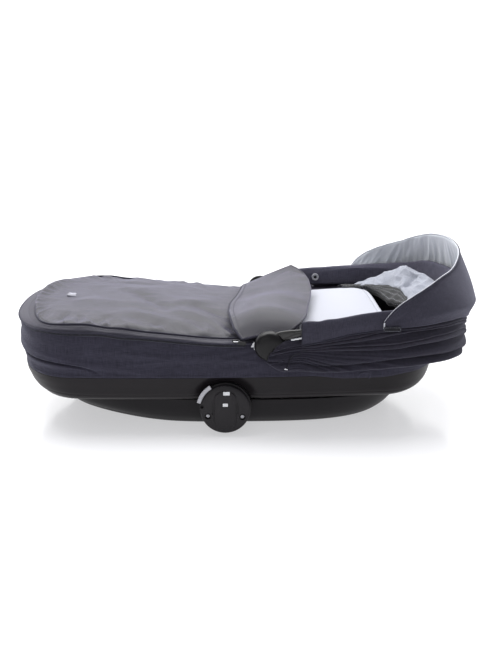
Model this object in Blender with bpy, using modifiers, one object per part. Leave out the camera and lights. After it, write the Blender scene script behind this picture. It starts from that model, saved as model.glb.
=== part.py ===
"""Carrycot with a folded-back hood: hull, wall, mattress, apron, hood and side mount hubs.

Frame: +X head end, -X foot end, -Y left side, +Y right side, +Z up, floor at Z = 0. Metres.
"""
import math

import bmesh
import bpy
from mathutils import Matrix, Vector

# ---- driving dimensions -------------------------------------------------
FOOT_X, HEAD_X = -0.422, 0.347        # shell rim, foot and head tips
HALF_W = 0.206                        # widest half width of the shell rim
RIM_Z = 0.104                         # shell rim height
KEEL_TOP = 0.0542                     # keel top edge
END_LEN, END_POW = 0.12, 2.3          # length and fullness of the rounded ends
PIVOT = Vector((0.031, 0.0, 0.165))   # hood hinge axis (along Y)
VISOR_AXIS = Vector((0.225, 0.0, 0.197))
FLAP_AXIS = Vector((0.110, 0.0, 0.199))
HUB = Vector((-0.045, 0.2155, 0.049))  # centre of the hub's outer face
HUB_R = 0.0435
PAD_SLOPE = math.radians(4.2)         # mattress incline
MATTRESS_T = 0.034
GAP = 0.0003

for o in list(bpy.data.objects):
    bpy.data.objects.remove(o, do_unlink=True)
scene = bpy.context.scene
parts = bpy.data.collections.new("carrycot")
cutters = bpy.data.collections.new("carrycot_cutters")
scene.collection.children.link(parts)
scene.collection.children.link(cutters)


def material(name, rgb, rough, metal=0.0):
    m = bpy.data.materials.new(name)
    m.use_nodes = True
    b = m.node_tree.nodes["Principled BSDF"]
    b.inputs["Base Color"].default_value = (*rgb, 1)
    b.inputs["Roughness"].default_value = rough
    b.inputs["Metallic"].default_value = metal
    return m


M_SHELL = (0.027, 0.024, 0.028)
M_FABRIC = (0.035, 0.033, 0.052)


def place(name, mesh, rgb, rough=0.6, metal=0.0, smooth=40.0, coll=parts):
    o = bpy.data.objects.new(name, mesh)
    coll.objects.link(o)
    mesh.materials.append(material(name, rgb, rough, metal))
    mesh.shade_smooth()
    mesh.set_sharp_from_angle(angle=math.radians(smooth))
    return o


def mesh_of(name, verts, faces, recalc=True):
    bm = bmesh.new()
    vs = [bm.verts.new(v) for v in verts]
    for f in faces:
        bm.faces.new([vs[i] for i in f])
    if recalc:
        bmesh.ops.recalc_face_normals(bm, faces=bm.faces)
    me = bpy.data.meshes.new(name)
    bm.to_mesh(me)
    bm.free()
    return me


def solidify(o, thickness, offset=-1.0):
    m = o.modifiers.new("Solidify", "SOLIDIFY")
    m.thickness, m.offset = thickness, offset
    return o


def bevel(o, width, segments=2, angle=35):
    m = o.modifiers.new("Bevel", "BEVEL")
    m.width, m.segments = width, segments
    m.limit_method, m.angle_limit = "ANGLE", math.radians(angle)
    m.use_clamp_overlap = True
    return o


def cut(o, tool):
    m = o.modifiers.new("Cut", "BOOLEAN")
    m.operation, m.object = "DIFFERENCE", tool
    return o


def cutter(o):
    for c in list(o.users_collection):
        c.objects.unlink(o)
    cutters.objects.link(o)
    o.hide_render = True
    o.display_type = "WIRE"
    return o


def box(name, lo, hi, rgb, rough=0.6, metal=0.0, chamfer=0.0):
    bm = bmesh.new()
    bmesh.ops.create_cube(bm, size=1)
    c = [(a + b) / 2 for a, b in zip(lo, hi)]
    s = [b - a for a, b in zip(lo, hi)]
    bmesh.ops.scale(bm, vec=s, verts=bm.verts)
    me = bpy.data.meshes.new(name)
    bm.to_mesh(me)
    bm.free()
    o = place(name, me, rgb, rough, metal)
    o.location = c
    if chamfer:
        bevel(o, chamfer)
    return o


def turned(name, profile, rgb, rough, steps, centre, outward, metal=0.0):
    """Profile (radius, height) from the outer end to the inner end, turned about an axis along +Y or -Y."""
    me = bpy.data.meshes.new(name)
    me.from_pydata([(r, 0, h) for r, h in profile], [(i, i + 1) for i in range(len(profile) - 1)], [])
    o = place(name, me, rgb, rough, metal)
    s = o.modifiers.new("Screw", "SCREW")
    s.angle, s.steps, s.render_steps = math.tau, steps, steps
    s.axis = "Z"
    s.use_merge_vertices, s.merge_threshold = True, 0.0001
    s.use_smooth_shade = True
    o.rotation_euler = (math.radians(90 if outward < 0 else -90), 0, 0)
    o.location = centre
    return o


def slab(name, outline, thickness, rgb, rough, metal=0.0):
    """Flat outline (x, y) extruded along local Z, centred on local Z = 0."""
    cu = bpy.data.curves.new(name, "CURVE")
    cu.dimensions, cu.fill_mode, cu.extrude = "2D", "BOTH", thickness / 2
    sp = cu.splines.new("POLY")
    sp.points.add(len(outline) - 1)
    for p, (x, y) in zip(sp.points, outline):
        p.co = (x, y, 0, 1)
    sp.use_cyclic_u = True
    o = bpy.data.objects.new(name, cu)
    parts.objects.link(o)
    cu.materials.append(material(name, rgb, rough, metal))
    return o


def tube(name, points, radius, rgb, rough, metal=0.0, cyclic=False, res=2):
    cu = bpy.data.curves.new(name, "CURVE")
    cu.dimensions, cu.bevel_depth, cu.bevel_resolution = "3D", radius, res
    cu.use_fill_caps = not cyclic
    sp = cu.splines.new("POLY")
    sp.points.add(len(points) - 1)
    for p, q in zip(sp.points, points):
        p.co = (*q, 1)
    sp.use_cyclic_u = cyclic
    o = bpy.data.objects.new(name, cu)
    parts.objects.link(o)
    cu.materials.append(material(name, rgb, rough, metal))
    return o


def smoothstep(a, b, x):
    t = min(1.0, max(0.0, (x - a) / (b - a)))
    return t * t * (3 - 2 * t)


def half_width(x):
    return HALF_W - 0.145 * (x + 0.09) ** 2


def plan(x0, x1, grow=0.0, kf=8, ks=9, kh=8, lf=END_LEN, lh=END_LEN, n=END_POW):
    """Closed plan outline, anticlockwise from the foot tip: near side, head tip, far side."""
    def w(x):
        return half_width(x) + grow
    near = []
    for i in range(kf):
        a = math.pi / 2 * i / kf
        x = x0 + lf * (1 - math.cos(a) ** (2 / n))
        near.append((x, -w(x) * math.sin(a) ** (2 / n)))
    for i in range(ks):
        x = x0 + lf + (x1 - lh - x0 - lf) * i / ks
        near.append((x, -w(x)))
    for i in range(kh + 1):
        a = math.pi / 2 * (1 - i / kh)
        x = x1 - lh * (1 - math.cos(a) ** (2 / n))
        near.append((x, -w(x) * math.sin(a) ** (2 / n) if i < kh else 0.0))
    far = [(x, -y) for x, y in near[1:-1]][::-1]
    return near + far


def inset(loop, d):
    """Moves a closed anticlockwise outline inward by d."""
    out, m = [], len(loop)
    for i in range(m):
        ax, ay = loop[i - 1]
        bx, by = loop[(i + 1) % m]
        tx, ty = bx - ax, by - ay
        q = math.hypot(tx, ty)
        out.append((loop[i][0] - ty / q * d, loop[i][1] + tx / q * d))
    return out


def open_loft(name, rings, cap=False):
    """Rings from top to bottom, each anticlockwise from above; faces point outward. cap closes the last ring."""
    m = len(rings[0])
    faces = []
    for r in range(len(rings) - 1):
        for j in range(m):
            k = (j + 1) % m
            faces.append((r * m + j, (r + 1) * m + j, (r + 1) * m + k, r * m + k))
    verts = [v for ring in rings for v in ring]
    if cap:
        base = (len(rings) - 1) * m
        cx = sum(v[0] for v in rings[-1]) / m
        verts.append((cx, 0.0, rings[-1][0][2]))
        c = len(verts) - 1
        faces += [(base + j, c, base + (j + 1) % m) for j in range(m)]
    return mesh_of(name, verts, faces, recalc=False)


def lift(loop, z):
    return [(x, y, z(x) if callable(z) else z) for x, y in loop]


# ---- base shell: upper tub, sides curl under towards the keel ------------
def underside(z):
    """The shell's lower edge sweeps up a little at the foot and head tips."""
    return lambda x: z + 0.010 * smoothstep(-0.29, -0.42, x) + 0.004 * smoothstep(0.24, 0.34, x)


RIM = plan(FOOT_X, HEAD_X)
shell_rings = [lift(RIM, RIM_Z), lift(inset(RIM, 0.0012), 0.092), lift(inset(RIM, 0.004), underside(0.078)),
               lift(inset(RIM, 0.009), underside(0.068)), lift(inset(RIM, 0.016), underside(0.0612)),
               lift(inset(RIM, 0.022), underside(0.0582)), lift(inset(RIM, 0.045), 0.0560),
               lift([(x * 0.55, y * 0.45) for x, y in inset(RIM, 0.045)], 0.0560)]
base_shell = solidify(place("base_shell", open_loft("base_shell", shell_rings, cap=True), M_SHELL, 0.45), 0.0025)


# ---- base keel: boat-shaped lower hull with the flat rest face -----------
def keel_outline(tip_f, tip_h, half, k=22):
    """Pointed-oval plan: sharper at the foot, fuller at the head."""
    xc, near = -0.05, []
    for i in range(k + 1):
        a = math.pi * i / k
        x = xc - math.cos(a) * (xc - tip_f if a < math.pi / 2 else tip_h - xc)
        t = abs((x - xc) / ((tip_f - xc) if x < xc else (tip_h - xc)))
        y = (max(0.0, 1 - t ** 2.2)) ** 0.58 if x < xc else (max(0.0, 1 - t ** 4)) ** 0.45
        near.append((x, -half * y if 0 < i < k else 0.0))
    return near + [(x, -y) for x, y in near[1:-1]][::-1]


def rocker(z):
    """The flat rest face lifts slightly towards the foot tip."""
    return lambda x: z + 0.0060 * smoothstep(-0.13, -0.30, x)


keel_rings = [lift(keel_outline(-0.372, 0.298, 0.180), KEEL_TOP), lift(keel_outline(-0.368, 0.292, 0.1775), 0.046),
              lift(keel_outline(-0.360, 0.281, 0.1700), 0.026), lift(keel_outline(-0.348, 0.264, 0.1580), rocker(0.009)),
              lift(keel_outline(-0.338, 0.250, 0.1480), rocker(0.0010)), lift(keel_outline(-0.334, 0.246, 0.1440), rocker(0.0)),
              lift(keel_outline(-0.120, 0.170, 0.1150), 0.0)]
base_keel = solidify(place("base_keel", open_loft("base_keel", keel_rings, cap=True), M_SHELL, 0.4), 0.0025)


# ---- wall: board, hoop, outer cover, lining ------------------------------
def wall_top(x):
    """Height of the seam line on top of the wall."""
    foot = 0.165 + 0.014 * smoothstep(-0.03, -0.23, x) - 0.006 * smoothstep(-0.30, -0.42, x)
    return foot + 0.006 * smoothstep(0.15, 0.33, x)


W_LOW = plan(FOOT_X - 0.005, HEAD_X + 0.003, 0.0015)
W_MID = plan(FOOT_X - 0.0098, HEAD_X + 0.003, 0.0010)
W_TOP = plan(FOOT_X - 0.0065, HEAD_X + 0.001, -0.0050)
W_REF = inset(W_TOP, 0.0)
cover_rings = [lift(inset(W_TOP, 0.0), wall_top),
               lift(W_MID, lambda x: 0.5 * (wall_top(x) + 0.1120)),
               lift(W_LOW, 0.1120), lift(plan(FOOT_X - 0.003, HEAD_X + 0.003, 0.0010), RIM_Z + 0.0006)]
outer_cover = solidify(place("outer_cover", open_loft("outer_cover", cover_rings), M_FABRIC, 0.9), 0.0012)

BOARD = inset(W_TOP, 0.0050)
BOARD_LOW = inset(plan(FOOT_X - 0.003, HEAD_X + 0.003, 0.0010), 0.0050)
wall_board = solidify(place("wall_board", open_loft("wall_board", [
    lift(BOARD, lambda x: wall_top(x) - 0.0108), lift(BOARD_LOW, RIM_Z + 0.0006)]), (0.16, 0.16, 0.17), 0.6), 0.0025)

HOOP = inset(W_TOP, 0.0066)
rim_frame = tube("rim_frame", lift(HOOP, lambda x: wall_top(x) - 0.0062), 0.0040, (0.5, 0.5, 0.52), 0.35, 0.9, cyclic=True)

LINING = inset(W_TOP, 0.0112)
inner_lining = solidify(place("inner_lining", open_loft("inner_lining", [
    lift(LINING, lambda x: wall_top(x) - 0.001), lift(inset(BOARD_LOW, 0.0080), RIM_Z + 0.0008)]), (0.05, 0.05, 0.07), 0.9), 0.0020)


# ---- mattress, board and supports ----------------------------------------
def pad_z(x):
    """Height of the mattress's top edge."""
    return 0.1712 + (x - 0.139) * math.tan(PAD_SLOPE)


PAD = plan(-0.375, 0.256, -0.045, kf=7, ks=8, kh=7, lf=0.11, lh=0.070, n=2.6)
pad_levels = [(0.010, -MATTRESS_T), (0.002, -MATTRESS_T + 0.006), (0.0, -0.016), (0.002, -0.007), (0.010, 0.0),
              (0.040, 0.0055)]
pad_rings = [lift(inset(PAD, d), lambda x, h=h: pad_z(x) + h) for d, h in pad_levels][::-1]
m_pad = len(PAD)
pad_verts = [v for r in pad_rings for v in r]
pad_faces = [(r * m_pad + j, (r + 1) * m_pad + j, (r + 1) * m_pad + (j + 1) % m_pad, r * m_pad + (j + 1) % m_pad)
             for r in range(len(pad_rings) - 1) for j in range(m_pad)]
for base, h in ((0, 0.009), ((len(pad_rings) - 1) * m_pad, -MATTRESS_T)):
    pad_verts.append((-0.06, 0.0, pad_z(-0.06) + h))
    pad_faces += [(base + j, base + (j + 1) % m_pad, len(pad_verts) - 1) for j in range(m_pad)]
mattress = place("mattress", mesh_of("mattress", pad_verts, pad_faces), (0.86, 0.87, 0.93), 0.8)

board_outline = [(x, y) for x, y in plan(-0.378, 0.257, -0.041, kf=6, ks=4, kh=6, lf=0.11, lh=0.095)]
mattress_board = slab("mattress_board", board_outline, 0.004, (0.3, 0.3, 0.31), 0.7)
mattress_board.rotation_euler = (0, -PAD_SLOPE, 0)
mattress_board.location = (0, 0, pad_z(0) - MATTRESS_T - 0.0035)

FLOOR_IN = 0.0585


def support(name, x, half, foot_len=0.03):
    """Bent rod that stands on the tub floor and carries the mattress board."""
    top = pad_z(x) - MATTRESS_T - 0.0060 - 0.0042
    low = FLOOR_IN + 0.0036
    pts = [(x + foot_len, -half, low), (x + 0.008, -half, low), (x, -half, low + 0.006), (x, -half, top - 0.01),
           (x, -half + 0.003, top - 0.003), (x, -half + 0.010, top)]
    pts += [(x, -half + 0.010 + (2 * half - 0.020) * i / 4, top) for i in range(1, 4)]
    pts += [(p[0], -p[1], p[2]) for p in pts[:6]][::-1]
    return tube(name, pts, 0.0030, (0.5, 0.5, 0.52), 0.35, 0.9)


board_support_head = support("board_support_head", 0.170, 0.110)
board_support_foot = support("board_support_foot", -0.270, 0.095)


# ---- zip tape round the wall top, foot to the hinges ---------------------
def along_foot(loop, x_end):
    """The stretch of a closed outline that goes round the foot end, near end first."""
    near = [p for p in loop if p[0] <= x_end and p[1] < 0][::-1]
    tip = [p for p in loop if p[1] == 0 and p[0] < 0]
    far = [p for p in loop if p[0] <= x_end and p[1] > 0][::-1]
    y_end = min(p[1] for p in near)
    return [(x_end, y_end)] + near + tip + far + [(x_end, -y_end)]


def sweep(name, path, section, rgb, rough, closed_caps=True):
    """Closed section (out, up) swept along an open path of (x, y, z), the section kept upright."""
    m, rings = len(section), []
    for i, p in enumerate(path):
        a, b = path[max(0, i - 1)], path[min(len(path) - 1, i + 1)]
        tx, ty = b[0] - a[0], b[1] - a[1]
        q = math.hypot(tx, ty)
        nx, ny = ty / q, -tx / q
        rings.append([(p[0] + nx * s, p[1] + ny * s, p[2] + u) for s, u in section])
    verts = [v for r in rings for v in r]
    faces = [(i * m + j, (i + 1) * m + j, (i + 1) * m + (j + 1) % m, i * m + (j + 1) % m)
             for i in range(len(rings) - 1) for j in range(m)]
    faces += [tuple(range(m)), tuple(range((len(rings) - 1) * m, len(rings) * m))]
    return place(name, mesh_of(name, verts, faces), rgb, rough)


TAPE_END = -0.012
tape_path = [(x, y, wall_top(x) - 0.0075) for x, y in along_foot(inset(W_TOP, -0.0032), TAPE_END)][::-1]
zip_tape = sweep("zip_tape", tape_path, [(0.0, -0.003), (0.0012, -0.003), (0.0012, 0.003), (0.0, 0.003)],
                 (0.02, 0.02, 0.03), 0.8)


# ---- hub on each side: housing, cover, windows, screws, lever, latch -----
def side_box(name, side, x, y, z, rgb, rough=0.6, metal=0.0, chamfer=0.0):
    """Box given by x, outward distance and z ranges, on side -1 (left) or +1 (right)."""
    lo_y, hi_y = sorted((side * y[0], side * y[1]))
    return box(name, (x[0], lo_y, z[0]), (x[1], hi_y, z[1]), rgb, rough, metal, chamfer)


def arc_plate(name, side, r0, r1, a0, a1, y_in, y_out, rgb, rough, k=8):
    """Ring sector in the XZ plane about the hub axis, angles from +X towards +Z."""
    outline = []
    for i in range(k + 1):
        a = math.radians(a0 + (a1 - a0) * i / k)
        outline.append((r1 * math.cos(a), r1 * math.sin(a)))
    for i in range(k + 1):
        a = math.radians(a1 + (a0 - a1) * i / k)
        outline.append((r0 * math.cos(a), r0 * math.sin(a)))
    o = slab(name, outline, y_out - y_in, rgb, rough)
    o.rotation_euler = (math.radians(90), 0, 0)
    o.location = (HUB.x, side * (y_in + y_out) / 2, HUB.z)
    return o


def drill(name, side, x, z, r, y0, y1, n=20):
    bm = bmesh.new()
    bmesh.ops.create_cone(bm, cap_ends=True, segments=n, radius1=r, radius2=r, depth=abs(y1 - y0))
    me = bpy.data.meshes.new(name)
    bm.to_mesh(me)
    bm.free()
    o = place(name, me, (0.5, 0.5, 0.5), coll=cutters)
    o.rotation_euler = (math.radians(90), 0, 0)
    o.location = (x, side * (y0 + y1) / 2, z)
    o.hide_render, o.display_type = True, "WIRE"
    return o


for side, tag in ((-1, "left"), (1, "right")):
    hole = drill(tag + "_hub_hole", side, HUB.x, HUB.z, 0.0462, 0.150, 0.235, 40)
    cut(base_shell, hole)
    cut(base_keel, hole)
    housing = turned(tag + "_hub_housing",
                     [(0, 0), (0.0405, 0), (0.0425, -0.0006), (HUB_R, -0.0020), (HUB_R, -0.0115), (0.0454, -0.0115),
                      (0.0454, -0.0555), (0, -0.0555)], M_SHELL, 0.42, 40, (HUB.x, side * HUB.y, HUB.z), side)
    cut(housing, cutter(side_box(tag + "_socket_cut", side, (HUB.x - 0.014, HUB.x + 0.014), (0.188, 0.198),
                                 (-0.010, 0.045), (0.5, 0.5, 0.5))))
    cut(housing, cutter(side_box(tag + "_latch_pocket", side, (HUB.x - 0.005, HUB.x + 0.005), (0.1885, 0.1975),
                                 (0.040, 0.062), (0.5, 0.5, 0.5))))
    for i, (dx, dz) in enumerate(((-0.0304, -0.0118), (0.0297, -0.0136))):
        cut(housing, drill(f"{tag}_screw_recess_{i}", side, HUB.x + dx, HUB.z + dz, 0.0056, HUB.y - 0.004, HUB.y + 0.004, 16))
    tongue = [(-0.0190, 0.021), (-0.0190, -0.024), (-0.0145, -0.0325), (0.0145, -0.0325), (0.0190, -0.024),
              (0.0190, 0.021), (0.0165, 0.0235), (-0.0165, 0.0235)]
    cover = slab(tag + "_hub_cover", tongue, 0.0022, M_SHELL, 0.45)
    cover.rotation_euler = (math.radians(90), 0, 0)
    cover.location = (HUB.x, side * (HUB.y + 0.0014), HUB.z)
    # two pale windows: one above the tongue, one on it
    for label, cx, cz, w, h, y0, y1 in (("upper", 0.0020, 0.0305, 0.0115, 0.0062, 0.0003, 0.0011),
                                        ("lower", 0.0, 0.0096, 0.0092, 0.0058, 0.0028, 0.0036)):
        side_box(f"{tag}_hub_window_{label}", side, (HUB.x + cx - w / 2, HUB.x + cx + w / 2), (HUB.y + y0, HUB.y + y1),
                 (HUB.z + cz - h / 2, HUB.z + cz + h / 2), (0.75, 0.76, 0.78), 0.35)
    for label, dx, dz in (("front", -0.0304, -0.0118), ("rear", 0.0297, -0.0136)):
        turned(f"{tag}_hub_screw_{label}", [(0, 0), (0.0026, -0.0002), (0.0035, -0.0010), (0.0035, -0.0020), (0, -0.0020)],
               (0.6, 0.6, 0.62), 0.3, 14, (HUB.x + dx, side * (HUB.y - 0.0017), HUB.z + dz), side, 0.9)
    arc_plate(tag + "_release_lever", side, 0.0440, 0.0512, 122, 166, 0.2084, 0.2128, (0.52, 0.52, 0.55), 0.5)
    side_box(tag + "_latch_bolt", side, (HUB.x - 0.0044, HUB.x + 0.0044), (0.1892, 0.1968), (0.036, 0.0545), (0.6, 0.6, 0.6), 0.3, 0.9)


# ---- hood hinges: bracket, pin, cap --------------------------------------
def ring_xz(r, n=24, cx=0.0, cz=0.0):
    return [(cx + r * math.cos(math.tau * i / n), cz + r * math.sin(math.tau * i / n)) for i in range(n)]


for side, tag in ((-1, "left"), (1, "right")):
    strip = [(-0.026, -0.010), (0.058, -0.010), (0.060, 0.000), (0.017, 0.002)]
    ear = [(0.0150 * math.cos(math.radians(a)), 0.0150 * math.sin(math.radians(a))) for a in range(10, 171, 20)]
    outline = strip + ear + [(-0.017, 0.001), (-0.026, -0.003)]
    bracket = slab(tag + "_hinge_bracket_flat", outline, 0.0026, (0.8, 0.8, 0.82), 0.5)
    bracket.rotation_euler = (math.radians(90), 0, 0)
    bracket.location = (PIVOT.x, side * 0.2045, PIVOT.z)
    bpy.context.view_layer.update()
    dg = bpy.context.evaluated_depsgraph_get()
    me = bpy.data.meshes.new_from_object(bracket.evaluated_get(dg))
    bm = bmesh.new()
    bm.from_mesh(me)
    bmesh.ops.remove_doubles(bm, verts=bm.verts, dist=0.00002)
    bm.to_mesh(me)
    bm.free()
    solid = bpy.data.objects.new(tag + "_hinge_bracket", me)
    parts.objects.link(solid)
    solid.matrix_world = bracket.matrix_world.copy()
    bpy.data.objects.remove(bracket, do_unlink=True)
    cut(solid, drill(tag + "_bracket_bore", side, PIVOT.x, PIVOT.z, 0.0034, 0.200, 0.209))
    pin = turned(tag + "_hinge_pin", [(0, 0), (0.0022, 0), (0.0030, -0.0008), (0.0030, -0.0215), (0.0046, -0.0215),
                                      (0.0046, -0.0232), (0, -0.0232)], (0.6, 0.6, 0.62), 0.3, 20,
                 (PIVOT.x, side * 0.2240, PIVOT.z), side, 0.9)
    turned(tag + "_hinge_cap", [(0, 0), (0.008, -0.0005), (0.0155, -0.0024), (0.0210, -0.0056), (0.0244, -0.0105),
                                (0.0250, -0.0140), (0.0250, -0.0184), (0.0034, -0.0184), (0.0034, -0.0045), (0, -0.0045)],
           (0.018, 0.018, 0.020), 0.5, 32, (PIVOT.x, side * 0.2290, PIVOT.z), side)


# ---- hood ribs, pleats, rear panel ---------------------------------------
def u_path(y_leg, x_tip, x_start, lh=0.17, n=2.1, ks=7, kh=8):
    """Plan of a U round the head end: near leg, tip, far leg."""
    near = [(x_start + (x_tip - lh - x_start) * i / ks, -y_leg) for i in range(ks)]
    for i in range(kh + 1):
        a = math.pi / 2 * (1 - i / kh)
        c = math.cos(a) ** (2 / n) if i else 0.0
        near.append((x_tip - lh * (1 - c), -y_leg * math.sin(a) ** (2 / n) if i < kh else 0.0))
    return near + [(x, -y) for x, y in near[:-1]][::-1]


def at_angle(x, deg):
    return PIVOT.z + (x - PIVOT.x) * math.tan(math.radians(deg))


def polyline(points):
    """Smooth height through a few (x, z) stations."""
    def f(x):
        if x <= points[0][0]:
            return points[0][1]
        for (xa, za), (xb, zb) in zip(points, points[1:]):
            if x <= xb:
                t = (x - xa) / (xb - xa)
                return za + (zb - za) * t * t * (3 - 2 * t) * 0.4 + (zb - za) * t * 0.6
        return points[-1][1]
    return f


SEAM_TOP = polyline([(0.088, 0.1660), (0.125, 0.1766), (0.172, 0.1865), (0.224, 0.1940), (0.288, 0.1960), (0.331, 0.1970),
                     (0.374, 0.1945), (0.393, 0.1880), (0.412, 0.1715)])
SEAM_MID = polyline([(0.088, 0.1590), (0.125, 0.1680), (0.172, 0.1775), (0.237, 0.1850), (0.290, 0.1870), (0.334, 0.1880),
                     (0.374, 0.1820), (0.393, 0.1720), (0.412, 0.1530)])
SEAM_LOW = polyline([(0.088, 0.1500), (0.125, 0.1570), (0.172, 0.1665), (0.237, 0.1735), (0.290, 0.1755), (0.334, 0.1760),
                     (0.374, 0.1680), (0.393, 0.1560), (0.412, 0.1345)])
PANEL_LOW = polyline([(0.088, 0.1075), (0.200, 0.1085), (0.280, 0.1130), (0.310, 0.1190), (0.355, 0.1200), (0.380, 0.1180),
                      (0.398, 0.1070), (0.412, 0.0900)])


def rib(name, y_leg, x_tip, deg, rgb):
    """Flat strip on edge, widened to an eye at the hinge."""
    xs = [PIVOT.x - 0.009, PIVOT.x, PIVOT.x + 0.009, PIVOT.x + 0.020]
    u = u_path(y_leg, x_tip, PIVOT.x + 0.05, ks=5)
    path = [(x, -y_leg) for x in xs] + u + [(x, y_leg) for x in xs[::-1]]
    m, verts = 4, []
    for i, (x, y) in enumerate(path):
        a, b = path[max(0, i - 1)], path[min(len(path) - 1, i + 1)]
        q = math.hypot(b[0] - a[0], b[1] - a[1])
        nx, ny = (b[1] - a[1]) / q, -(b[0] - a[0]) / q
        h = 0.0065 if abs(x - PIVOT.x) < 0.010 else 0.0040
        z = at_angle(x, deg)
        for s, v in ((-0.0009, -h), (0.0009, -h), (0.0009, h), (-0.0009, h)):
            verts.append((x + nx * s, y + ny * s, z + v))
    n_r = len(path)
    faces = [(i * m + j, (i + 1) * m + j, (i + 1) * m + (j + 1) % m, i * m + (j + 1) % m)
             for i in range(n_r - 1) for j in range(m)]
    faces += [tuple(range(m)), tuple(range((n_r - 1) * m, n_r * m))]
    o = place(name, mesh_of(name, verts, faces), rgb, 0.5)
    for side in (-1, 1):
        cut(o, drill(f"{name}_eye_{side}", side, PIVOT.x, PIVOT.z, 0.0034, y_leg - 0.003, y_leg + 0.003))
    return o


hood_rear_rib = rib("hood_rear_rib", 0.2071, 0.372, -8.5, (0.05, 0.05, 0.05))
hood_mid_rib = rib("hood_mid_rib", 0.2093, 0.376, -4.0, (0.05, 0.05, 0.05))


def fan(name, low, high, x_start, rgb, y_in=0.2112, y_out=0.2215, tip_in=0.381, tip_out=0.412, folds=1):
    """Soft pleat round the head end between two heights, each a function of x; its outer face is folded."""
    inner, outer = u_path(y_in, tip_in, x_start), u_path(y_out, tip_out, x_start)
    verts, m = [], 2 + 2 * folds + 1
    for i, (xi, yi) in enumerate(inner):
        xo, yo = outer[i]
        lo, hi = low(xo), high(xo)
        li, hi_i = low(xi), high(xi)
        ring = [(xi, yi, li)]
        for k in range(2 * folds + 1):
            t = (k + 0.5) / (2 * folds + 1)
            s = 1.0 if k % 2 == 0 else 0.72
            z = lo + (hi - lo) * (k / (2 * folds))
            ring.append((xi + (xo - xi) * s, yi + (yo - yi) * s, z))
        ring.append((xi, yi, hi_i))
        verts += ring
    n_r = len(inner)
    faces = []
    for i in range(n_r - 1):
        a, b = i * m, (i + 1) * m
        for j in range(m):
            k = (j + 1) % m
            if j == 0:
                faces += [(a, b, a + 1), (b, b + 1, a + 1)]
            elif j == m - 2:
                faces += [(a + j, b + j, b + k), (a + j, b + k, a + k)]
            else:
                faces.append((a + j, b + j, b + k, a + k))
    faces += [tuple(range(m)), tuple(range((n_r - 1) * m, n_r * m))]
    return place(name, mesh_of(name, verts, faces), rgb, 0.9)


hood_front_pleat = fan("hood_front_pleat", lambda x: SEAM_MID(x) + GAP, lambda x: SEAM_TOP(x) - GAP, 0.105, M_FABRIC)
hood_mid_pleat = fan("hood_mid_pleat", lambda x: SEAM_LOW(x) + GAP, lambda x: SEAM_MID(x) - GAP, 0.105, M_FABRIC)
hood_rear_panel = fan("hood_rear_panel", PANEL_LOW, lambda x: SEAM_LOW(x) - GAP, 0.105, M_FABRIC, folds=2)


# ---- hood bow: tube, sleeve ----------------------------------------------
BOW_Y, BOW_TIP, BOW_R = 0.2165, 0.400, 0.0045


bow_z = polyline([(0.054, 0.1770), (0.083, 0.1880), (0.125, 0.1925), (0.172, 0.1995), (0.224, 0.2060), (0.290, 0.2082),
                  (0.331, 0.2094), (0.378, 0.2085), (0.400, 0.2070)])


bow_plan = u_path(BOW_Y, BOW_TIP, 0.083, ks=6)
arm = [(0.0540, -BOW_Y), (0.064, -BOW_Y), (0.074, -BOW_Y)]
bow_pts = arm + bow_plan + [(x, -y) for x, y in arm][::-1]
hood_bow = tube("hood_bow", [(x, y, bow_z(x)) for x, y in bow_pts], BOW_R, (0.07, 0.07, 0.08), 0.4)


band_top = polyline([(0.088, 0.2030), (0.110, 0.2075), (0.150, 0.2125), (0.190, 0.2180), (0.240, 0.2210), (0.290, 0.2240),
                     (0.324, 0.2300), (0.370, 0.2410), (0.402, 0.2405)])


def band_low(x):
    return SEAM_TOP(x) + 0.0016


sleeve_plan = u_path(BOW_Y, BOW_TIP, 0.089, ks=6)
sleeve_verts, M_S = [], 10
for i, (x, y) in enumerate(sleeve_plan):
    a, b = sleeve_plan[max(0, i - 1)], sleeve_plan[min(len(sleeve_plan) - 1, i + 1)]
    q = math.hypot(b[0] - a[0], b[1] - a[1])
    nx, ny = (b[1] - a[1]) / q, -(b[0] - a[0]) / q
    zc, top, low = bow_z(x), band_top(x), band_low(x)
    outer_ring = [(-0.0054, low + 0.002), (-0.0060, zc - 0.006), (-0.0066, zc), (-0.0060, zc + 0.006), (-0.0040, top),
                  (0.0030, top), (0.0062, zc + 0.008), (0.0070, zc), (0.0066, zc - 0.007), (0.0040, low + 0.001)]
    inner_ring = [(0.0056 * math.cos(math.radians(-108 - 36 * k)), zc + 0.0056 * math.sin(math.radians(-108 - 36 * k)))
                  for k in range(M_S)]
    sleeve_verts += [(x + nx * s, y + ny * s, z) for s, z in outer_ring + inner_ring]
n_s = len(sleeve_plan)
sleeve_faces = []
for i in range(n_s - 1):
    for base in (0, M_S):
        sleeve_faces += [(i * 2 * M_S + base + j, (i + 1) * 2 * M_S + base + j,
                          (i + 1) * 2 * M_S + base + (j + 1) % M_S, i * 2 * M_S + base + (j + 1) % M_S) for j in range(M_S)]
for i in (0, n_s - 1):
    sleeve_faces += [(i * 2 * M_S + j, i * 2 * M_S + (j + 1) % M_S, i * 2 * M_S + M_S + (j + 1) % M_S, i * 2 * M_S + M_S + j)
                     for j in range(M_S)]
bow_sleeve = place("bow_sleeve", mesh_of("bow_sleeve", sleeve_verts, sleeve_faces), M_FABRIC, 0.9)

band_snap = turned("band_snap", [(0, 0), (0.0035, 0), (0.0058, -0.0006), (0.0058, -0.0016), (0, -0.0016)], (0.5, 0.5, 0.52),
                   0.3, 18, (0.147, 0.2078, 0.1935), -1, 0.8)


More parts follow.
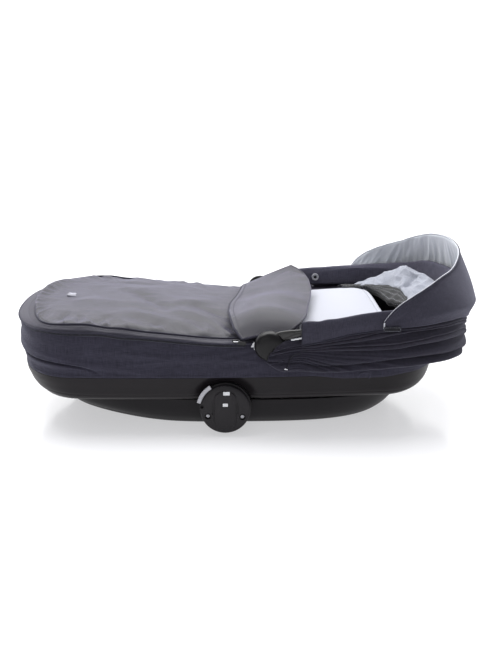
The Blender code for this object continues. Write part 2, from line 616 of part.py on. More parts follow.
# ---- visor: stiff crescent that stands up from the band ------------------
VISOR_TIP = 0.4262
visor_low = polyline([(0.225, 0.1965), (0.288, 0.1985), (0.331, 0.1995), (0.372, 0.1970), (0.402, 0.1880), (0.4262, 0.1745)])
visor_rim = polyline([(0.225, 0.2040), (0.2345, 0.2205), (0.2486, 0.2330), (0.2618, 0.2415), (0.2869, 0.2530), (0.3106, 0.2620),
                      (0.3327, 0.2698), (0.3529, 0.2768), (0.3711, 0.2820), (0.3869, 0.2856), (0.4002, 0.2890), (0.4262, 0.2925)])


visor_plan = u_path(0.2265, VISOR_TIP, VISOR_AXIS.x + 0.006, lh=0.19, ks=2, kh=11)
LEVELS = (0.0, 0.12, 0.27, 0.62, 1.0)
visor_verts = []
for v in LEVELS:
    for i, (x, y) in enumerate(visor_plan):
        a, b = visor_plan[max(0, i - 1)], visor_plan[min(len(visor_plan) - 1, i + 1)]
        q = math.hypot(b[0] - a[0], b[1] - a[1])
        nx, ny = (b[1] - a[1]) / q, -(b[0] - a[0]) / q
        h = visor_rim(x) - visor_low(x) + 0.045 * y * smoothstep(0.33, 0.40, x)
        ahead = max(0.0, nx)
        lean = 0.034 * ahead * max(0.0, (v - 0.25) / 0.75) ** 1.15 + 0.010 * ahead ** 2 * (1 - smoothstep(0.0, 0.28, v))
        visor_verts.append((x - nx * lean, y - ny * lean, visor_low(x) + h * v))
n_v = len(visor_plan)
visor_faces = [(r * n_v + j, r * n_v + j + 1, (r + 1) * n_v + j + 1, (r + 1) * n_v + j)
               for r in range(len(LEVELS) - 1) for j in range(n_v - 1)]
visor_panel = solidify(place("visor_panel", mesh_of("visor_panel", visor_verts, visor_faces, recalc=False), M_FABRIC, 0.9),
                       0.0022, 0.0)


# ---- liner cloth and mesh cloth at the head end --------------------------
def lump(name, lo, hi, rgb, rough, peak=(0.0, 0.0), tall=0.0):
    """Soft closed form from a coarse cage, with an off-centre peak."""
    bm = bmesh.new()
    bmesh.ops.create_cube(bm, size=1)
    bmesh.ops.subdivide_edges(bm, edges=bm.edges, cuts=2, use_grid_fill=True)
    for v in bm.verts:
        u = Vector(((lo[0] + hi[0]) / 2 + v.co.x * (hi[0] - lo[0]), (lo[1] + hi[1]) / 2 + v.co.y * (hi[1] - lo[1]),
                    (lo[2] + hi[2]) / 2 + v.co.z * (hi[2] - lo[2])))
        if v.co.z > 0.4:
            d = math.hypot((u.x - peak[0]) / 0.05, (u.y - peak[1]) / 0.08)
            u.z += tall * max(0.0, 1 - d)
        v.co = u
    me = bpy.data.meshes.new(name)
    bm.to_mesh(me)
    bm.free()
    o = place(name, me, rgb, rough)
    s = o.modifiers.new("Subdivision", "SUBSURF")
    s.levels, s.render_levels = 1, 1
    return o


head_liner = lump("head_liner", (0.2630, -0.100, 0.1900), (0.3300, 0.140, 0.2120), (0.35, 0.36, 0.4), 0.9, (0.300, 0.08), 0.026)
mesh_panel = lump("mesh_panel", (0.2600, -0.080, 0.1770), (0.3220, 0.135, 0.1896), (0.02, 0.02, 0.03), 0.8)


# ---- apron, badge plate, flap --------------------------------------------
APRON_END = 0.088
APRON_OUT = inset(W_TOP, 0.0015)


def edge_y(x):
    """Half width of the apron outline at x."""
    pts = sorted({(px, -py) for px, py in APRON_OUT if py <= 0})
    for (xa, ya), (xb, yb) in zip(pts, pts[1:]):
        if xa <= x <= xb:
            return ya + (yb - ya) * (x - xa) / max(1e-9, xb - xa)
    return pts[-1][1]


def crown(x):
    return (0.018 + 0.008 * smoothstep(0.02, -0.08, x) - 0.0055 * smoothstep(-0.10, -0.26, x)) * (
        max(0.0, 1 - max(0.0, (-0.33 - x) / 0.1055) ** 2.2)) ** 0.5


def apron_z(x, y):
    w = edge_y(x)
    t = min(1.0, abs(y) / w)
    tilt = 0.030 * smoothstep(0.0, 0.10, x) * smoothstep(-0.14, 0.16, y)
    return wall_top(x) + 0.0064 + crown(x) * (1 - t ** 2.5) + tilt


def sheet(name, grid, thickness, rgb, rough):
    """Rows run along +X, columns along +Y; thickened downward."""
    rows, cols = len(grid), len(grid[0])
    verts = [p for row in grid for p in row]
    faces = [(i * cols + j, (i + 1) * cols + j, (i + 1) * cols + j + 1, i * cols + j + 1)
             for i in range(rows - 1) for j in range(cols - 1)]
    return solidify(place(name, mesh_of(name, verts, faces, recalc=False), rgb, rough), thickness)


x_first = min(p[0] for p in APRON_OUT) + 0.002
apron_x = [x_first, x_first + 0.004, x_first + 0.010, x_first + 0.020, x_first + 0.036, x_first + 0.060, x_first + 0.090]
apron_x += [x_first + 0.12 + (APRON_END - x_first - 0.12) * i / 10 for i in range(11)]
COLS = 14
grid = []
for x in apron_x:
    row = []
    for j in range(COLS + 1):
        s = math.sin(math.pi / 2 * (2 * j / COLS - 1))
        y = edge_y(x) * s * (1.0 if x < 0.0 else 1 - 0.10 * smoothstep(0.0, 0.09, x))
        row.append((x, y, apron_z(x, y)))
    grid.append(row)
apron = sheet("apron", grid, 0.0050, M_FABRIC, 0.8)

badge = bmesh.new()
bmesh.ops.create_cube(badge, size=1)
bmesh.ops.scale(badge, vec=(0.016, 0.020, 0.0014), verts=badge.verts)
me = bpy.data.meshes.new("badge_plate")
badge.to_mesh(me)
badge.free()
badge_plate = place("badge_plate", me, (0.6, 0.6, 0.64), 0.3, 0.5)
badge_plate.location = (-0.335, 0.0, apron_z(-0.335, 0.0) + 0.0016)
badge_plate.rotation_euler = (0, -math.atan2(apron_z(-0.330, 0) - apron_z(-0.340, 0), 0.010), 0)


def flap_edges(y):
    """Free edge (towards the foot) and fold edge (towards the head) of the flap, with the fold's height."""
    t = y / 0.172
    free = -0.0345 + 0.011 * max(0.0, t) + 0.030 * abs(t) ** 3.4
    fold = 0.119 - 0.036 * abs(t) ** 2.2 + 0.008 * t
    height = 0.199 + 0.0235 * t + 0.006 * (1 - t * t)
    return free, fold, height


flap_grid = []
for i in range(9):
    u, row = i / 8, []
    for j in range(13):
        y = 0.172 * math.sin(math.pi / 2 * (2 * j / 12 - 1) * 0.98)
        free, fold, height = flap_edges(y)
        x = free + (fold - free) * u
        low = apron_z(min(x, APRON_END), y)
        z = max(low + 0.0062, low + 0.0062 + (height - apron_z(free, y) - 0.0062) * (u ** 1.5) if x <= APRON_END else height - 0.010 * (1 - u) / 0.3)
        z = max(low + 0.0062, apron_z(free, y) + 0.0062 + (height - apron_z(free, y) - 0.0062) * (u ** 0.9))
        row.append((x, y, z))
    flap_grid.append(row)
apron_flap = sheet("apron_flap", flap_grid, 0.0040, M_FABRIC, 0.8)


# ---- zip sliders ----------------------------------------------------------
for side, tag in ((-1, "left"), (1, "right")):
    z0 = wall_top(-0.026) - 0.0075
    side_box(tag + "_zip_slider", side, (-0.033, -0.020), (0.2062, 0.2102), (z0 - 0.004, z0 + 0.004), (0.3, 0.3, 0.32), 0.3, 0.8,
             0.0008)
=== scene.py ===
import math

import bmesh
import bpy
from mathutils import Matrix, Vector, noise


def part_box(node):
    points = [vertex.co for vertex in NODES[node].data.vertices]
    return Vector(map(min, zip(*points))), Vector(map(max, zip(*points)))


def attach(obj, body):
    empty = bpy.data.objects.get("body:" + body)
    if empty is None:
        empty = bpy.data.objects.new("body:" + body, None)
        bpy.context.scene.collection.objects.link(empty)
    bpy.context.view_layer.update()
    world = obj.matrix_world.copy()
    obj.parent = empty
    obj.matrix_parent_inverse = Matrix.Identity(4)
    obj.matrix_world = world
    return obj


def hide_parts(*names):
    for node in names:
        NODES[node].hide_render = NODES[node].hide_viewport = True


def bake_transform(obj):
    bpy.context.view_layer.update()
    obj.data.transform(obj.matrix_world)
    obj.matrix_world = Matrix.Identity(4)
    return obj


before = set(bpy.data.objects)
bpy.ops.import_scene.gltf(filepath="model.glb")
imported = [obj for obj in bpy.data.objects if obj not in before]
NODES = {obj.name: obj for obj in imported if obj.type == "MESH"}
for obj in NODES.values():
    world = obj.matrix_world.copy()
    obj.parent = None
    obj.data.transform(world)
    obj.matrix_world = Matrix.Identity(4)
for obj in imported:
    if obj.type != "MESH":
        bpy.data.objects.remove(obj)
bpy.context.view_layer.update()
D = bpy.data
scene = bpy.context.scene
sin, cos, tan, pi, radians = math.sin, math.cos, math.tan, math.pi, math.radians

# ---- the part's driving dimensions --------------------------------------
FOOT_X, HEAD_X, HALF_W, RIM_Z, KEEL_TOP = -0.422, 0.347, 0.206, 0.104, 0.0542
PIVOT = Vector((0.031, 0, 0.165))
HUB = Vector((-0.045, 0.2155, 0.049))
HUB_R = 0.0435


def smoothstep(a, b, x):
    t = max(0.0, min(1.0, (x - a) / (b - a)))
    return t * t * (3 - 2 * t)


def lerp(a, b, t):
    return a + (b - a) * t


def half_width(x):
    return HALF_W - 0.145 * (x + 0.09) ** 2


def plan(x0, x1, grow=0.0, kf=60, ks=150, kh=60, lf=0.12, lh=0.12, n=2.3):
    """Closed outline from the foot tip along the near side, round the head tip and back along the far side."""
    pts = []
    xf, xh = x0 + lf, x1 - lh
    wf, wh = half_width(xf) + grow, half_width(xh) + grow
    for i in range(kf):
        a = pi / 2 * i / kf
        pts.append((x0 + lf * (1 - cos(a) ** (2 / n)), -wf * sin(a) ** (2 / n)))
    for i in range(ks):
        x = xf + (xh - xf) * i / ks
        pts.append((x, -(half_width(x) + grow)))
    for i in range(kh):
        a = pi / 2 * i / kh
        pts.append((x1 - lh * (1 - cos(pi / 2 - a) ** (2 / n)), -wh * sin(pi / 2 - a) ** (2 / n)))
    pts.append((x1, 0.0))
    return pts + [(x, -y) for x, y in pts[1:-1]][::-1]


def inset(loop, d):
    """The outline moved inwards by d."""
    n, out = len(loop), []
    for i in range(n):
        (xa, ya), (xb, yb) = loop[i - 1], loop[(i + 1) % n]
        tx, ty = xb - xa, yb - ya
        l = math.hypot(tx, ty) or 1
        out.append((loop[i][0] - ty / l * d, loop[i][1] + tx / l * d))
    return out


def resample(loop, n, closed=True):
    """n points spread evenly by length along the outline."""
    pts = loop + ([loop[0]] if closed else [])
    acc = [0.0]
    for a, b in zip(pts, pts[1:]):
        acc.append(acc[-1] + math.dist(a, b))
    total, out, j = acc[-1], [], 0
    for i in range(n):
        s = total * i / (n if closed else n - 1)
        while j < len(acc) - 2 and acc[j + 1] < s:
            j += 1
        t = (s - acc[j]) / max(1e-12, acc[j + 1] - acc[j])
        out.append(tuple(lerp(a, b, t) for a, b in zip(pts[j], pts[j + 1])))
    return out


def lengths(pts):
    acc = [0.0]
    for a, b in zip(pts, pts[1:]):
        acc.append(acc[-1] + math.dist(a, b))
    return acc


def wall_top(x):
    return (0.165 + 0.014 * smoothstep(-0.03, -0.23, x) - 0.006 * smoothstep(-0.30, -0.42, x)
            + 0.006 * smoothstep(0.15, 0.33, x))


def underside(z):
    return lambda x: z + 0.010 * smoothstep(-0.29, -0.42, x) + 0.004 * smoothstep(0.24, 0.34, x)


def rocker(z):
    return lambda x: z + 0.006 * smoothstep(-0.13, -0.30, x)


def n3(x, y, z, s=1.0, seed=0.0):
    return noise.noise(Vector((x * s + seed, y * s - seed * 0.7, z * s + seed * 0.3)))


def fbm(x, y, z, s, seed=0.0, octaves=3):
    v, a = 0.0, 1.0
    for k in range(octaves):
        v += a * n3(x, y, z, s * 2 ** k, seed + 7.3 * k)
        a *= 0.5
    return v


def ridged(v, sharp=2.0):
    """Crease profile: 0 on the flats, 1 on the crest of a fold."""
    return max(0.0, 1 - abs(v) * sharp)


# ---- mesh builders --------------------------------------------------------
def obj_from(name, verts, faces, mats=(), uvs=None, smooth=True, mat_of=None):
    me = D.meshes.new(name)
    me.from_pydata([tuple(v) for v in verts], [], faces)
    if uvs is not None:
        layer = me.uv_layers.new(name="UVMap")
        loops = me.loops
        layer.data.foreach_set("uv", [c for l in loops for c in uvs[l.vertex_index]])
    for m in mats:
        me.materials.append(m)
    if mat_of is not None:
        me.polygons.foreach_set("material_index", mat_of)
    me.update()
    o = D.objects.new(name, me)
    scene.collection.objects.link(o)
    if smooth:
        me.shade_smooth()
    return o


def grid(name, rows, mats=(), closed=False, flip=False, u0=0.0, uv_scale=1.0, row_mat=None):
    """Surface through rows of points; every row has the same number of points. UVs are in metres."""
    m, n = len(rows[0]), len(rows)
    verts = [p for r in rows for p in r]
    cols = m if closed else m - 1
    faces, mat_of = [], []
    for j in range(n - 1):
        for i in range(cols):
            a, b = j * m + i, j * m + (i + 1) % m
            f = (a, b, b + m, a + m)
            faces.append(f[::-1] if flip else f)
            mat_of.append(row_mat(j) if row_mat else 0)
    mid = rows[n // 2]
    us = lengths(mid)
    vs = [0.0]
    for j in range(n - 1):
        k = m // 3
        vs.append(vs[-1] + math.dist(rows[j][k], rows[j + 1][k]))
    uvs = [((us[i] + u0) * uv_scale, vs[j] * uv_scale) for j in range(n) for i in range(m)]
    return obj_from(name, verts, faces, mats, uvs, mat_of=mat_of)


def solidify(o, t, offset=-1.0, even=True):
    md = o.modifiers.new("thick", "SOLIDIFY")
    md.thickness, md.offset, md.use_even_offset = t, offset, even
    return md


def bevel(o, w, seg=3, angle=30):
    md = o.modifiers.new("bevel", "BEVEL")
    md.width, md.segments, md.limit_method, md.angle_limit = w, seg, "ANGLE", radians(angle)
    md.harden_normals = False
    return md


def sharp(o, deg=40):
    o.data.set_sharp_from_angle(angle=radians(deg))
    return o


def tube(name, pts, r, mat, seg=12, closed=False, cap=True, flat=1.0, up=(0, 0, 1), uv=True):
    """Swept tube; r is a number or a function of 0..1; flat squashes it along the up direction."""
    pts = [Vector(p) for p in pts]
    n = len(pts)
    acc = lengths(pts)
    verts, uvs = [], []
    upv = Vector(up)
    for i, p in enumerate(pts):
        a = pts[i - 1] if (i or closed) else pts[i]
        b = pts[(i + 1) % n] if (i < n - 1 or closed) else pts[i]
        t = (b - a).normalized()
        side = t.cross(upv)
        if side.length < 1e-6:
            side = t.cross(Vector((1, 0, 0)))
        side.normalize()
        u = side.cross(t).normalized()
        rr = r(acc[i] / acc[-1]) if callable(r) else r
        for k in range(seg):
            a2 = 2 * pi * k / seg
            verts.append(p + side * (rr * cos(a2)) + u * (rr * flat * sin(a2)))
            uvs.append((acc[i], rr * a2))
    faces = []
    for i in range(n if closed else n - 1):
        for k in range(seg):
            a, b = i * seg + k, i * seg + (k + 1) % seg
            c = ((i + 1) % n) * seg
            faces.append((a, b, c + (k + 1) % seg, c + k))
    if cap and not closed:
        faces += [tuple(range(seg))[::-1], tuple(range((n - 1) * seg, n * seg))]
    o = obj_from(name, verts, faces, [mat] if mat else [], uvs)
    bm = bmesh.new(); bm.from_mesh(o.data); bmesh.ops.recalc_face_normals(bm, faces=bm.faces); bm.to_mesh(o.data); bm.free()
    if cap and not closed:
        sharp(o, 60)
    return o


def lathe(name, profile, mat, axis_point, side=1, seg=96, mats=None, mat_of_row=None):
    """Turned about a Y axis: profile of (radius, y) pairs; side -1 faces -Y."""
    verts, faces, mo = [], [], []
    for r, y in profile:
        for k in range(seg):
            a = 2 * pi * k / seg
            verts.append((axis_point[0] + r * cos(a), y * side, axis_point[2] + r * sin(a)))
    for j in range(len(profile) - 1):
        for k in range(seg):
            a, b = j * seg + k, j * seg + (k + 1) % seg
            faces.append((a, b, b + seg, a + seg))
            mo.append(mat_of_row(j) if mat_of_row else 0)
    faces.append(tuple(range(seg))); mo.append(0)
    faces.append(tuple(range((len(profile) - 1) * seg, len(profile) * seg))); mo.append(0)
    o = obj_from(name, verts, faces, mats or [mat], mat_of=mo)
    bm = bmesh.new(); bm.from_mesh(o.data)
    bmesh.ops.remove_doubles(bm, verts=bm.verts, dist=1e-6)
    bmesh.ops.recalc_face_normals(bm, faces=bm.faces); bm.to_mesh(o.data); bm.free()
    return sharp(o, 35)


def prism(name, outline, y0, y1, mat, side=1, bev=0.0006, centre=None):
    """Plate with an outline of (x, z) points, between two distances from the middle plane; side -1 is the near side."""
    n = len(outline)
    verts = [(x, y0 * side, z) for x, z in outline] + [(x, y1 * side, z) for x, z in outline]
    faces = [tuple(range(n)), tuple(range(n, 2 * n))] + [(i, (i + 1) % n, n + (i + 1) % n, n + i) for i in range(n)]
    o = obj_from(name, verts, faces, [mat])
    bm = bmesh.new(); bm.from_mesh(o.data); bmesh.ops.recalc_face_normals(bm, faces=bm.faces); bm.to_mesh(o.data); bm.free()
    sharp(o, 35)
    if bev:
        bevel(o, bev, 3)
    return o


def round_rect(cx, cz, w, h, r, k=6):
    pts = []
    for sx, sz, a0 in ((1, -1, -pi / 2), (1, 1, 0), (-1, 1, pi / 2), (-1, -1, pi)):
        for i in range(k + 1):
            a = a0 + pi / 2 * i / k
            pts.append((cx + sx * (w / 2 - r) + r * cos(a), cz + sz * (h / 2 - r) + r * sin(a)))
    return pts


def subdiv(o, levels=1):
    md = o.modifiers.new("subdiv", "SUBSURF")
    md.levels = md.render_levels = levels
    return md


def straps(o, body, slot, *nodes):
    """Rides the piece on its body and hides the solids that it stands for."""
    if body:
        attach(o, body)
    if nodes:
        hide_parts(*nodes)
    return o

# ---- materials ------------------------------------------------------------
def new_mat(name):
    m = D.materials.new(name)
    m.use_nodes = True
    nt = m.node_tree
    for n in list(nt.nodes):
        nt.nodes.remove(n)
    out = nt.nodes.new("ShaderNodeOutputMaterial")
    b = nt.nodes.new("ShaderNodeBsdfPrincipled")
    nt.links.new(b.outputs[0], out.inputs[0])
    return m, nt, b


def node(nt, kind, **values):
    n = nt.nodes.new(kind)
    for k, v in values.items():
        if k in n.inputs:
            n.inputs[k].default_value = v
        else:
            setattr(n, k, v)
    return n


def mapped(nt, coord, scale, rot=(0, 0, 0)):
    tc = nt.nodes.new("ShaderNodeTexCoord")
    mp = nt.nodes.new("ShaderNodeMapping")
    mp.inputs["Scale"].default_value = scale
    mp.inputs["Rotation"].default_value = rot
    nt.links.new(tc.outputs[coord], mp.inputs["Vector"])
    return mp.outputs[0]


def noise_tex(nt, vec, scale, detail=3.0, rough=0.55):
    n = node(nt, "ShaderNodeTexNoise")
    n.inputs["Scale"].default_value = scale
    n.inputs["Detail"].default_value = detail
    n.inputs["Roughness"].default_value = rough
    nt.links.new(vec, n.inputs["Vector"])
    return n.outputs[0]


def math_node(nt, op, a, b=None, clamp=False):
    n = nt.nodes.new("ShaderNodeMath")
    n.operation, n.use_clamp = op, clamp
    for i, v in enumerate((a, b)):
        if v is None:
            continue
        if isinstance(v, (int, float)):
            n.inputs[i].default_value = v
        else:
            nt.links.new(v, n.inputs[i])
    return n.outputs[0]


def ramp(nt, fac, stops):
    r = nt.nodes.new("ShaderNodeValToRGB")
    el = r.color_ramp.elements
    while len(el) < len(stops):
        el.new(0.5)
    for e, (p, c) in zip(el, stops):
        e.position, e.color = p, (*c, 1)
    nt.links.new(fac, r.inputs[0])
    return r.outputs[0]


def bump(nt, height, b, strength=0.5, distance=0.0003, below=None):
    n = nt.nodes.new("ShaderNodeBump")
    n.inputs["Strength"].default_value = strength
    n.inputs["Distance"].default_value = distance
    nt.links.new(height, n.inputs["Height"])
    if below is not None:
        nt.links.new(below, n.inputs["Normal"])
    if b is not None:
        nt.links.new(n.outputs[0], b.inputs["Normal"])
    return n.outputs[0]


def srgb(r, g, b):
    def f(v):
        v /= 255
        return v / 12.92 if v <= 0.04045 else ((v + 0.055) / 1.055) ** 2.4
    return (f(r), f(g), f(b))


def fabric(name, dark, light, thread=0.0009, coord="UV", rough=0.92, sheen=0.25, sheen_tint=(0.6, 0.6, 0.75),
           depth=0.00022, slub=0.6, twill=False, cloudy=0.16, strength=0.55):
    """Woven cloth: crossing threads with slubs; dark and light yarns mixed."""
    m, nt, b = new_mat(name)
    k = 0.314 / thread
    v = mapped(nt, coord, (1, 1, 1))
    if twill:
        v2 = mapped(nt, coord, (1, 1, 1), (0, 0, radians(38)))
        w1 = node(nt, "ShaderNodeTexWave", wave_type="BANDS", bands_direction="X")
        w1.inputs["Scale"].default_value = k * 0.8
        w1.inputs["Distortion"].default_value = 0.6
        w1.inputs["Detail Scale"].default_value = 1.5
        nt.links.new(v2, w1.inputs["Vector"])
        w2 = node(nt, "ShaderNodeTexWave", wave_type="BANDS", bands_direction="Y")
        w2.inputs["Scale"].default_value = k * 1.6
        nt.links.new(v, w2.inputs["Vector"])
        height = math_node(nt, "ADD", w1.outputs[1], math_node(nt, "MULTIPLY", w2.outputs[1], 0.3))
    else:
        w1 = node(nt, "ShaderNodeTexWave", wave_type="BANDS", bands_direction="X")
        w2 = node(nt, "ShaderNodeTexWave", wave_type="BANDS", bands_direction="Y")
        for w in (w1, w2):
            w.inputs["Scale"].default_value = k
            w.inputs["Distortion"].default_value = 0.5
            nt.links.new(v, w.inputs["Vector"])
        height = math_node(nt, "MULTIPLY", w1.outputs[1], w2.outputs[1])
    along = noise_tex(nt, mapped(nt, coord, (60, 1100, 1)), 1.0, 2.0)
    across = noise_tex(nt, mapped(nt, coord, (1100, 60, 1)), 1.0, 2.0)
    mix = math_node(nt, "MULTIPLY", math_node(nt, "ADD", along, across), 0.5)
    mix = math_node(nt, "ADD", math_node(nt, "MULTIPLY", mix, slub),
                    math_node(nt, "MULTIPLY", height, 1 - slub))
    cloud = noise_tex(nt, mapped(nt, coord, (1, 1, 1)), 18.0, 3.0)
    mix = math_node(nt, "ADD", mix, math_node(nt, "MULTIPLY", math_node(nt, "SUBTRACT", cloud, 0.5), cloudy))
    col = ramp(nt, mix, [(0.28, dark), (0.72, light)])
    nt.links.new(col, b.inputs["Base Color"])
    rg = math_node(nt, "ADD", math_node(nt, "MULTIPLY", cloud, 0.10), rough - 0.05)
    nt.links.new(rg, b.inputs["Roughness"])
    b.inputs["Sheen Weight"].default_value = sheen
    b.inputs["Sheen Roughness"].default_value = 0.5
    b.inputs["Sheen Tint"].default_value = (*sheen_tint, 1)
    b.inputs["Specular IOR Level"].default_value = 0.3
    low = bump(nt, cloud, None, 0.25, 0.0012)
    bump(nt, math_node(nt, "ADD", height, math_node(nt, "MULTIPLY", along, 0.6)), b, strength, depth, low)
    return m


def plastic(name, dark, light, rough=0.42, grain=1400.0, depth=0.00006, coat=0.0, wear=0.0, spec=0.5, strength=0.5):
    """Moulded plastic with a fine grain and faint handling marks."""
    m, nt, b = new_mat(name)
    v = mapped(nt, "Object", (1, 1, 1))
    g = noise_tex(nt, v, grain, 2.0)
    cloud = noise_tex(nt, v, 14.0, 4.0)
    scuff = noise_tex(nt, mapped(nt, "Object", (25, 25, 260)), 1.0, 4.0, 0.7)
    f = math_node(nt, "ADD", math_node(nt, "MULTIPLY", cloud, 0.75), math_node(nt, "MULTIPLY", scuff, 0.25))
    nt.links.new(ramp(nt, f, [(0.30, dark), (0.75, light)]), b.inputs["Base Color"])
    rg = math_node(nt, "ADD", math_node(nt, "MULTIPLY", f, 0.16), rough - 0.08)
    nt.links.new(rg, b.inputs["Roughness"])
    b.inputs["Coat Weight"].default_value = coat
    b.inputs["Coat Roughness"].default_value = 0.25
    b.inputs["Specular IOR Level"].default_value = spec
    bump(nt, g, b, strength, depth)
    return m


def metal(name, col, rough=0.3, brushed=True):
    m, nt, b = new_mat(name)
    s = noise_tex(nt, mapped(nt, "Object", (900, 60, 900) if brushed else (80, 80, 80)), 1.0, 3.0)
    nt.links.new(ramp(nt, s, [(0.3, tuple(c * 0.86 for c in col)), (0.75, col)]), b.inputs["Base Color"])
    nt.links.new(math_node(nt, "ADD", math_node(nt, "MULTIPLY", s, 0.16), rough - 0.08), b.inputs["Roughness"])
    b.inputs["Metallic"].default_value = 1.0
    bump(nt, s, b, 0.2, 0.00004)
    return m


M = {}
M["wall"] = fabric("navy_linen", srgb(32, 31, 42), srgb(70, 68, 84), thread=0.0010, slub=0.8, sheen=0.22)
# painted shade: a darker copy of the wall's navy linen, used for the rear panel
M["panel"] = fabric("navy_linen_panel_painted_shade", srgb(25, 23, 33), srgb(56, 54, 68), thread=0.0010, slub=0.8, sheen=0.15)
# painted light: a lighter copy of the same navy linen, with more sheen, for the band, visor and hood cloths
M["hood"] = fabric("navy_linen_hood_painted_light", srgb(35, 34, 45), srgb(74, 72, 87), thread=0.0010, slub=0.8, sheen=0.30)
# painted shade: a darker copy of the same navy linen for the folded pleats
M["pleat"] = fabric("navy_linen_pleat_painted_shade", srgb(22, 20, 30), srgb(54, 51, 64), thread=0.0010, slub=0.8, sheen=0.18)
# painted light: a much lighter copy of the same navy linen for the band's inner face
M["band_inner"] = fabric("navy_linen_inner_painted_light", srgb(62, 61, 74), srgb(112, 110, 126), thread=0.0010, slub=0.8, sheen=0.30)
M["apron"] = fabric("navy_twill", srgb(26, 25, 35), srgb(42, 40, 52), thread=0.0008, twill=True, slub=0.35, sheen=1.0,
                    sheen_tint=(0.70, 0.67, 0.92), rough=0.50)
_b = M["apron"].node_tree.nodes["Principled BSDF"]
_b.inputs["Specular IOR Level"].default_value = 0.55
_b.inputs["Sheen Roughness"].default_value = 0.24
# painted shade: a duller copy of the apron twill with its sheen cut down, so the side strip reads darker
M["strip"] = fabric("navy_twill_strip_painted_shade", srgb(28, 27, 38), srgb(50, 48, 61), thread=0.0008, twill=True, slub=0.35, sheen=0.25,
                    sheen_tint=(0.72, 0.70, 0.84), rough=0.55)
M["piping"] = fabric("piping_cloth", srgb(38, 37, 48), srgb(64, 62, 76), thread=0.0007, slub=0.5, sheen=0.2)
M["lining"] = fabric("dark_lining", srgb(20, 19, 28), srgb(44, 42, 54), thread=0.0008, slub=0.5, sheen=0.1)
M["white_piping"] = fabric("white_piping_cloth", srgb(196, 198, 206), srgb(232, 233, 239), thread=0.0006, slub=0.3, sheen=0.1,
                           sheen_tint=(1, 1, 1))
M["grey_lining"] = fabric("grey_lining", srgb(138, 141, 152), srgb(178, 181, 190), thread=0.0007, slub=0.6, sheen=0.15,
                          sheen_tint=(1, 1, 1), depth=0.00012, cloudy=0.1)
M["mattress"] = fabric("white_jersey", srgb(176, 178, 187), srgb(198, 199, 207), thread=0.0011, slub=0.25, sheen=0.1,
                       sheen_tint=(1, 1, 1), depth=0.0002, cloudy=0.06, strength=0.35)
# painted light: the grey lining cloth raised close to white, so the visor's lining reads as if brightly lit
M["visor_lining_painted_light"] = fabric("visor_lining_painted_light", srgb(224, 228, 236), srgb(246, 249, 253), thread=0.0007, slub=0.6, sheen=0.25,
                           sheen_tint=(1, 1, 1), depth=0.00012, cloudy=0.1)
M["webbing"] = fabric("black_webbing", srgb(12, 12, 15), srgb(34, 33, 38), thread=0.0013, twill=True, slub=0.3, depth=0.0003)
M["tape"] = fabric("zip_tape_cloth", srgb(16, 16, 22), srgb(36, 35, 44), thread=0.0007, slub=0.3)
M["shell"] = plastic("moulded_shell", srgb(22, 19, 22), srgb(31, 28, 31), rough=0.46, depth=0.00008, spec=0.22)
M["keel"] = plastic("moulded_keel", srgb(24, 22, 25), srgb(32, 30, 33), rough=0.44, depth=0.00008, spec=0.20)
M["hub"] = plastic("moulded_hub", srgb(27, 25, 28), srgb(37, 34, 38), rough=0.40, grain=1800, depth=0.00005, spec=0.25)
M["lever"] = plastic("grey_lever", srgb(176, 176, 182), srgb(196, 196, 202), rough=0.42, depth=0.00003)
M["pale"] = plastic("pale_window", srgb(218, 220, 224), srgb(238, 239, 242), rough=0.30, depth=0.00002)
M["cap"] = plastic("matt_black_cap", srgb(7, 6, 8), srgb(13, 12, 15), rough=0.34, spec=0.28, depth=0.00005)
M["arm"] = plastic("satin_black_coat", srgb(20, 19, 19), srgb(32, 31, 30), rough=0.42, depth=0.00003, coat=0.2)
M["black"] = plastic("plain_black", srgb(12, 12, 14), srgb(20, 20, 22), rough=0.5)
M["board"] = plastic("grey_board", srgb(120, 120, 124), srgb(140, 140, 144), rough=0.6)
M["steel"] = metal("satin_steel", (0.50, 0.50, 0.53), 0.34)
M["chrome"] = metal("polished_nickel", (0.72, 0.72, 0.75), 0.22, brushed=False)
M["badge"] = metal("satin_plate", (0.30, 0.30, 0.34), 0.50)
M["zip"] = metal("dark_nickel", (0.070, 0.070, 0.080), 0.34, brushed=False)


def stitch_line(name, pts, mat, length=0.0032, gap=0.0012, r=0.00035, lift=(0, 0, 0)):
    """Row of raised stitches along a path."""
    acc = lengths(pts)
    count = int(acc[-1] / (length + gap))
    verts, faces = [], []
    j = 0
    for i in range(count):
        s = (i + 0.5) * (length + gap)
        ends = []
        for q in (s - length / 2, s + length / 2):
            while j < len(acc) - 2 and acc[j + 1] < q:
                j += 1
            while j > 0 and acc[j] > q:
                j -= 1
            t = (q - acc[j]) / max(1e-9, acc[j + 1] - acc[j])
            ends.append(Vector(pts[j]).lerp(Vector(pts[j + 1]), t) + Vector(lift))
        a, b = ends
        t = (b - a).normalized()
        side = t.cross(Vector((0.31, 0.43, 0.85))).normalized()
        up = side.cross(t)
        base = len(verts)
        for f, rr in ((0.0, 0.25), (0.25, 1.0), (0.75, 1.0), (1.0, 0.25)):
            c = a.lerp(b, f)
            for k in range(6):
                an = 2 * pi * k / 6
                verts.append(c + side * (rr * r * cos(an)) + up * (rr * r * sin(an)))
        for q in range(3):
            for k in range(6):
                p, w = base + q * 6 + k, base + q * 6 + (k + 1) % 6
                faces.append((p, w, w + 6, p + 6))
        faces += [tuple(base + k for k in range(6))[::-1], tuple(base + 18 + k for k in range(6))]
    return obj_from(name, verts, faces, [mat])

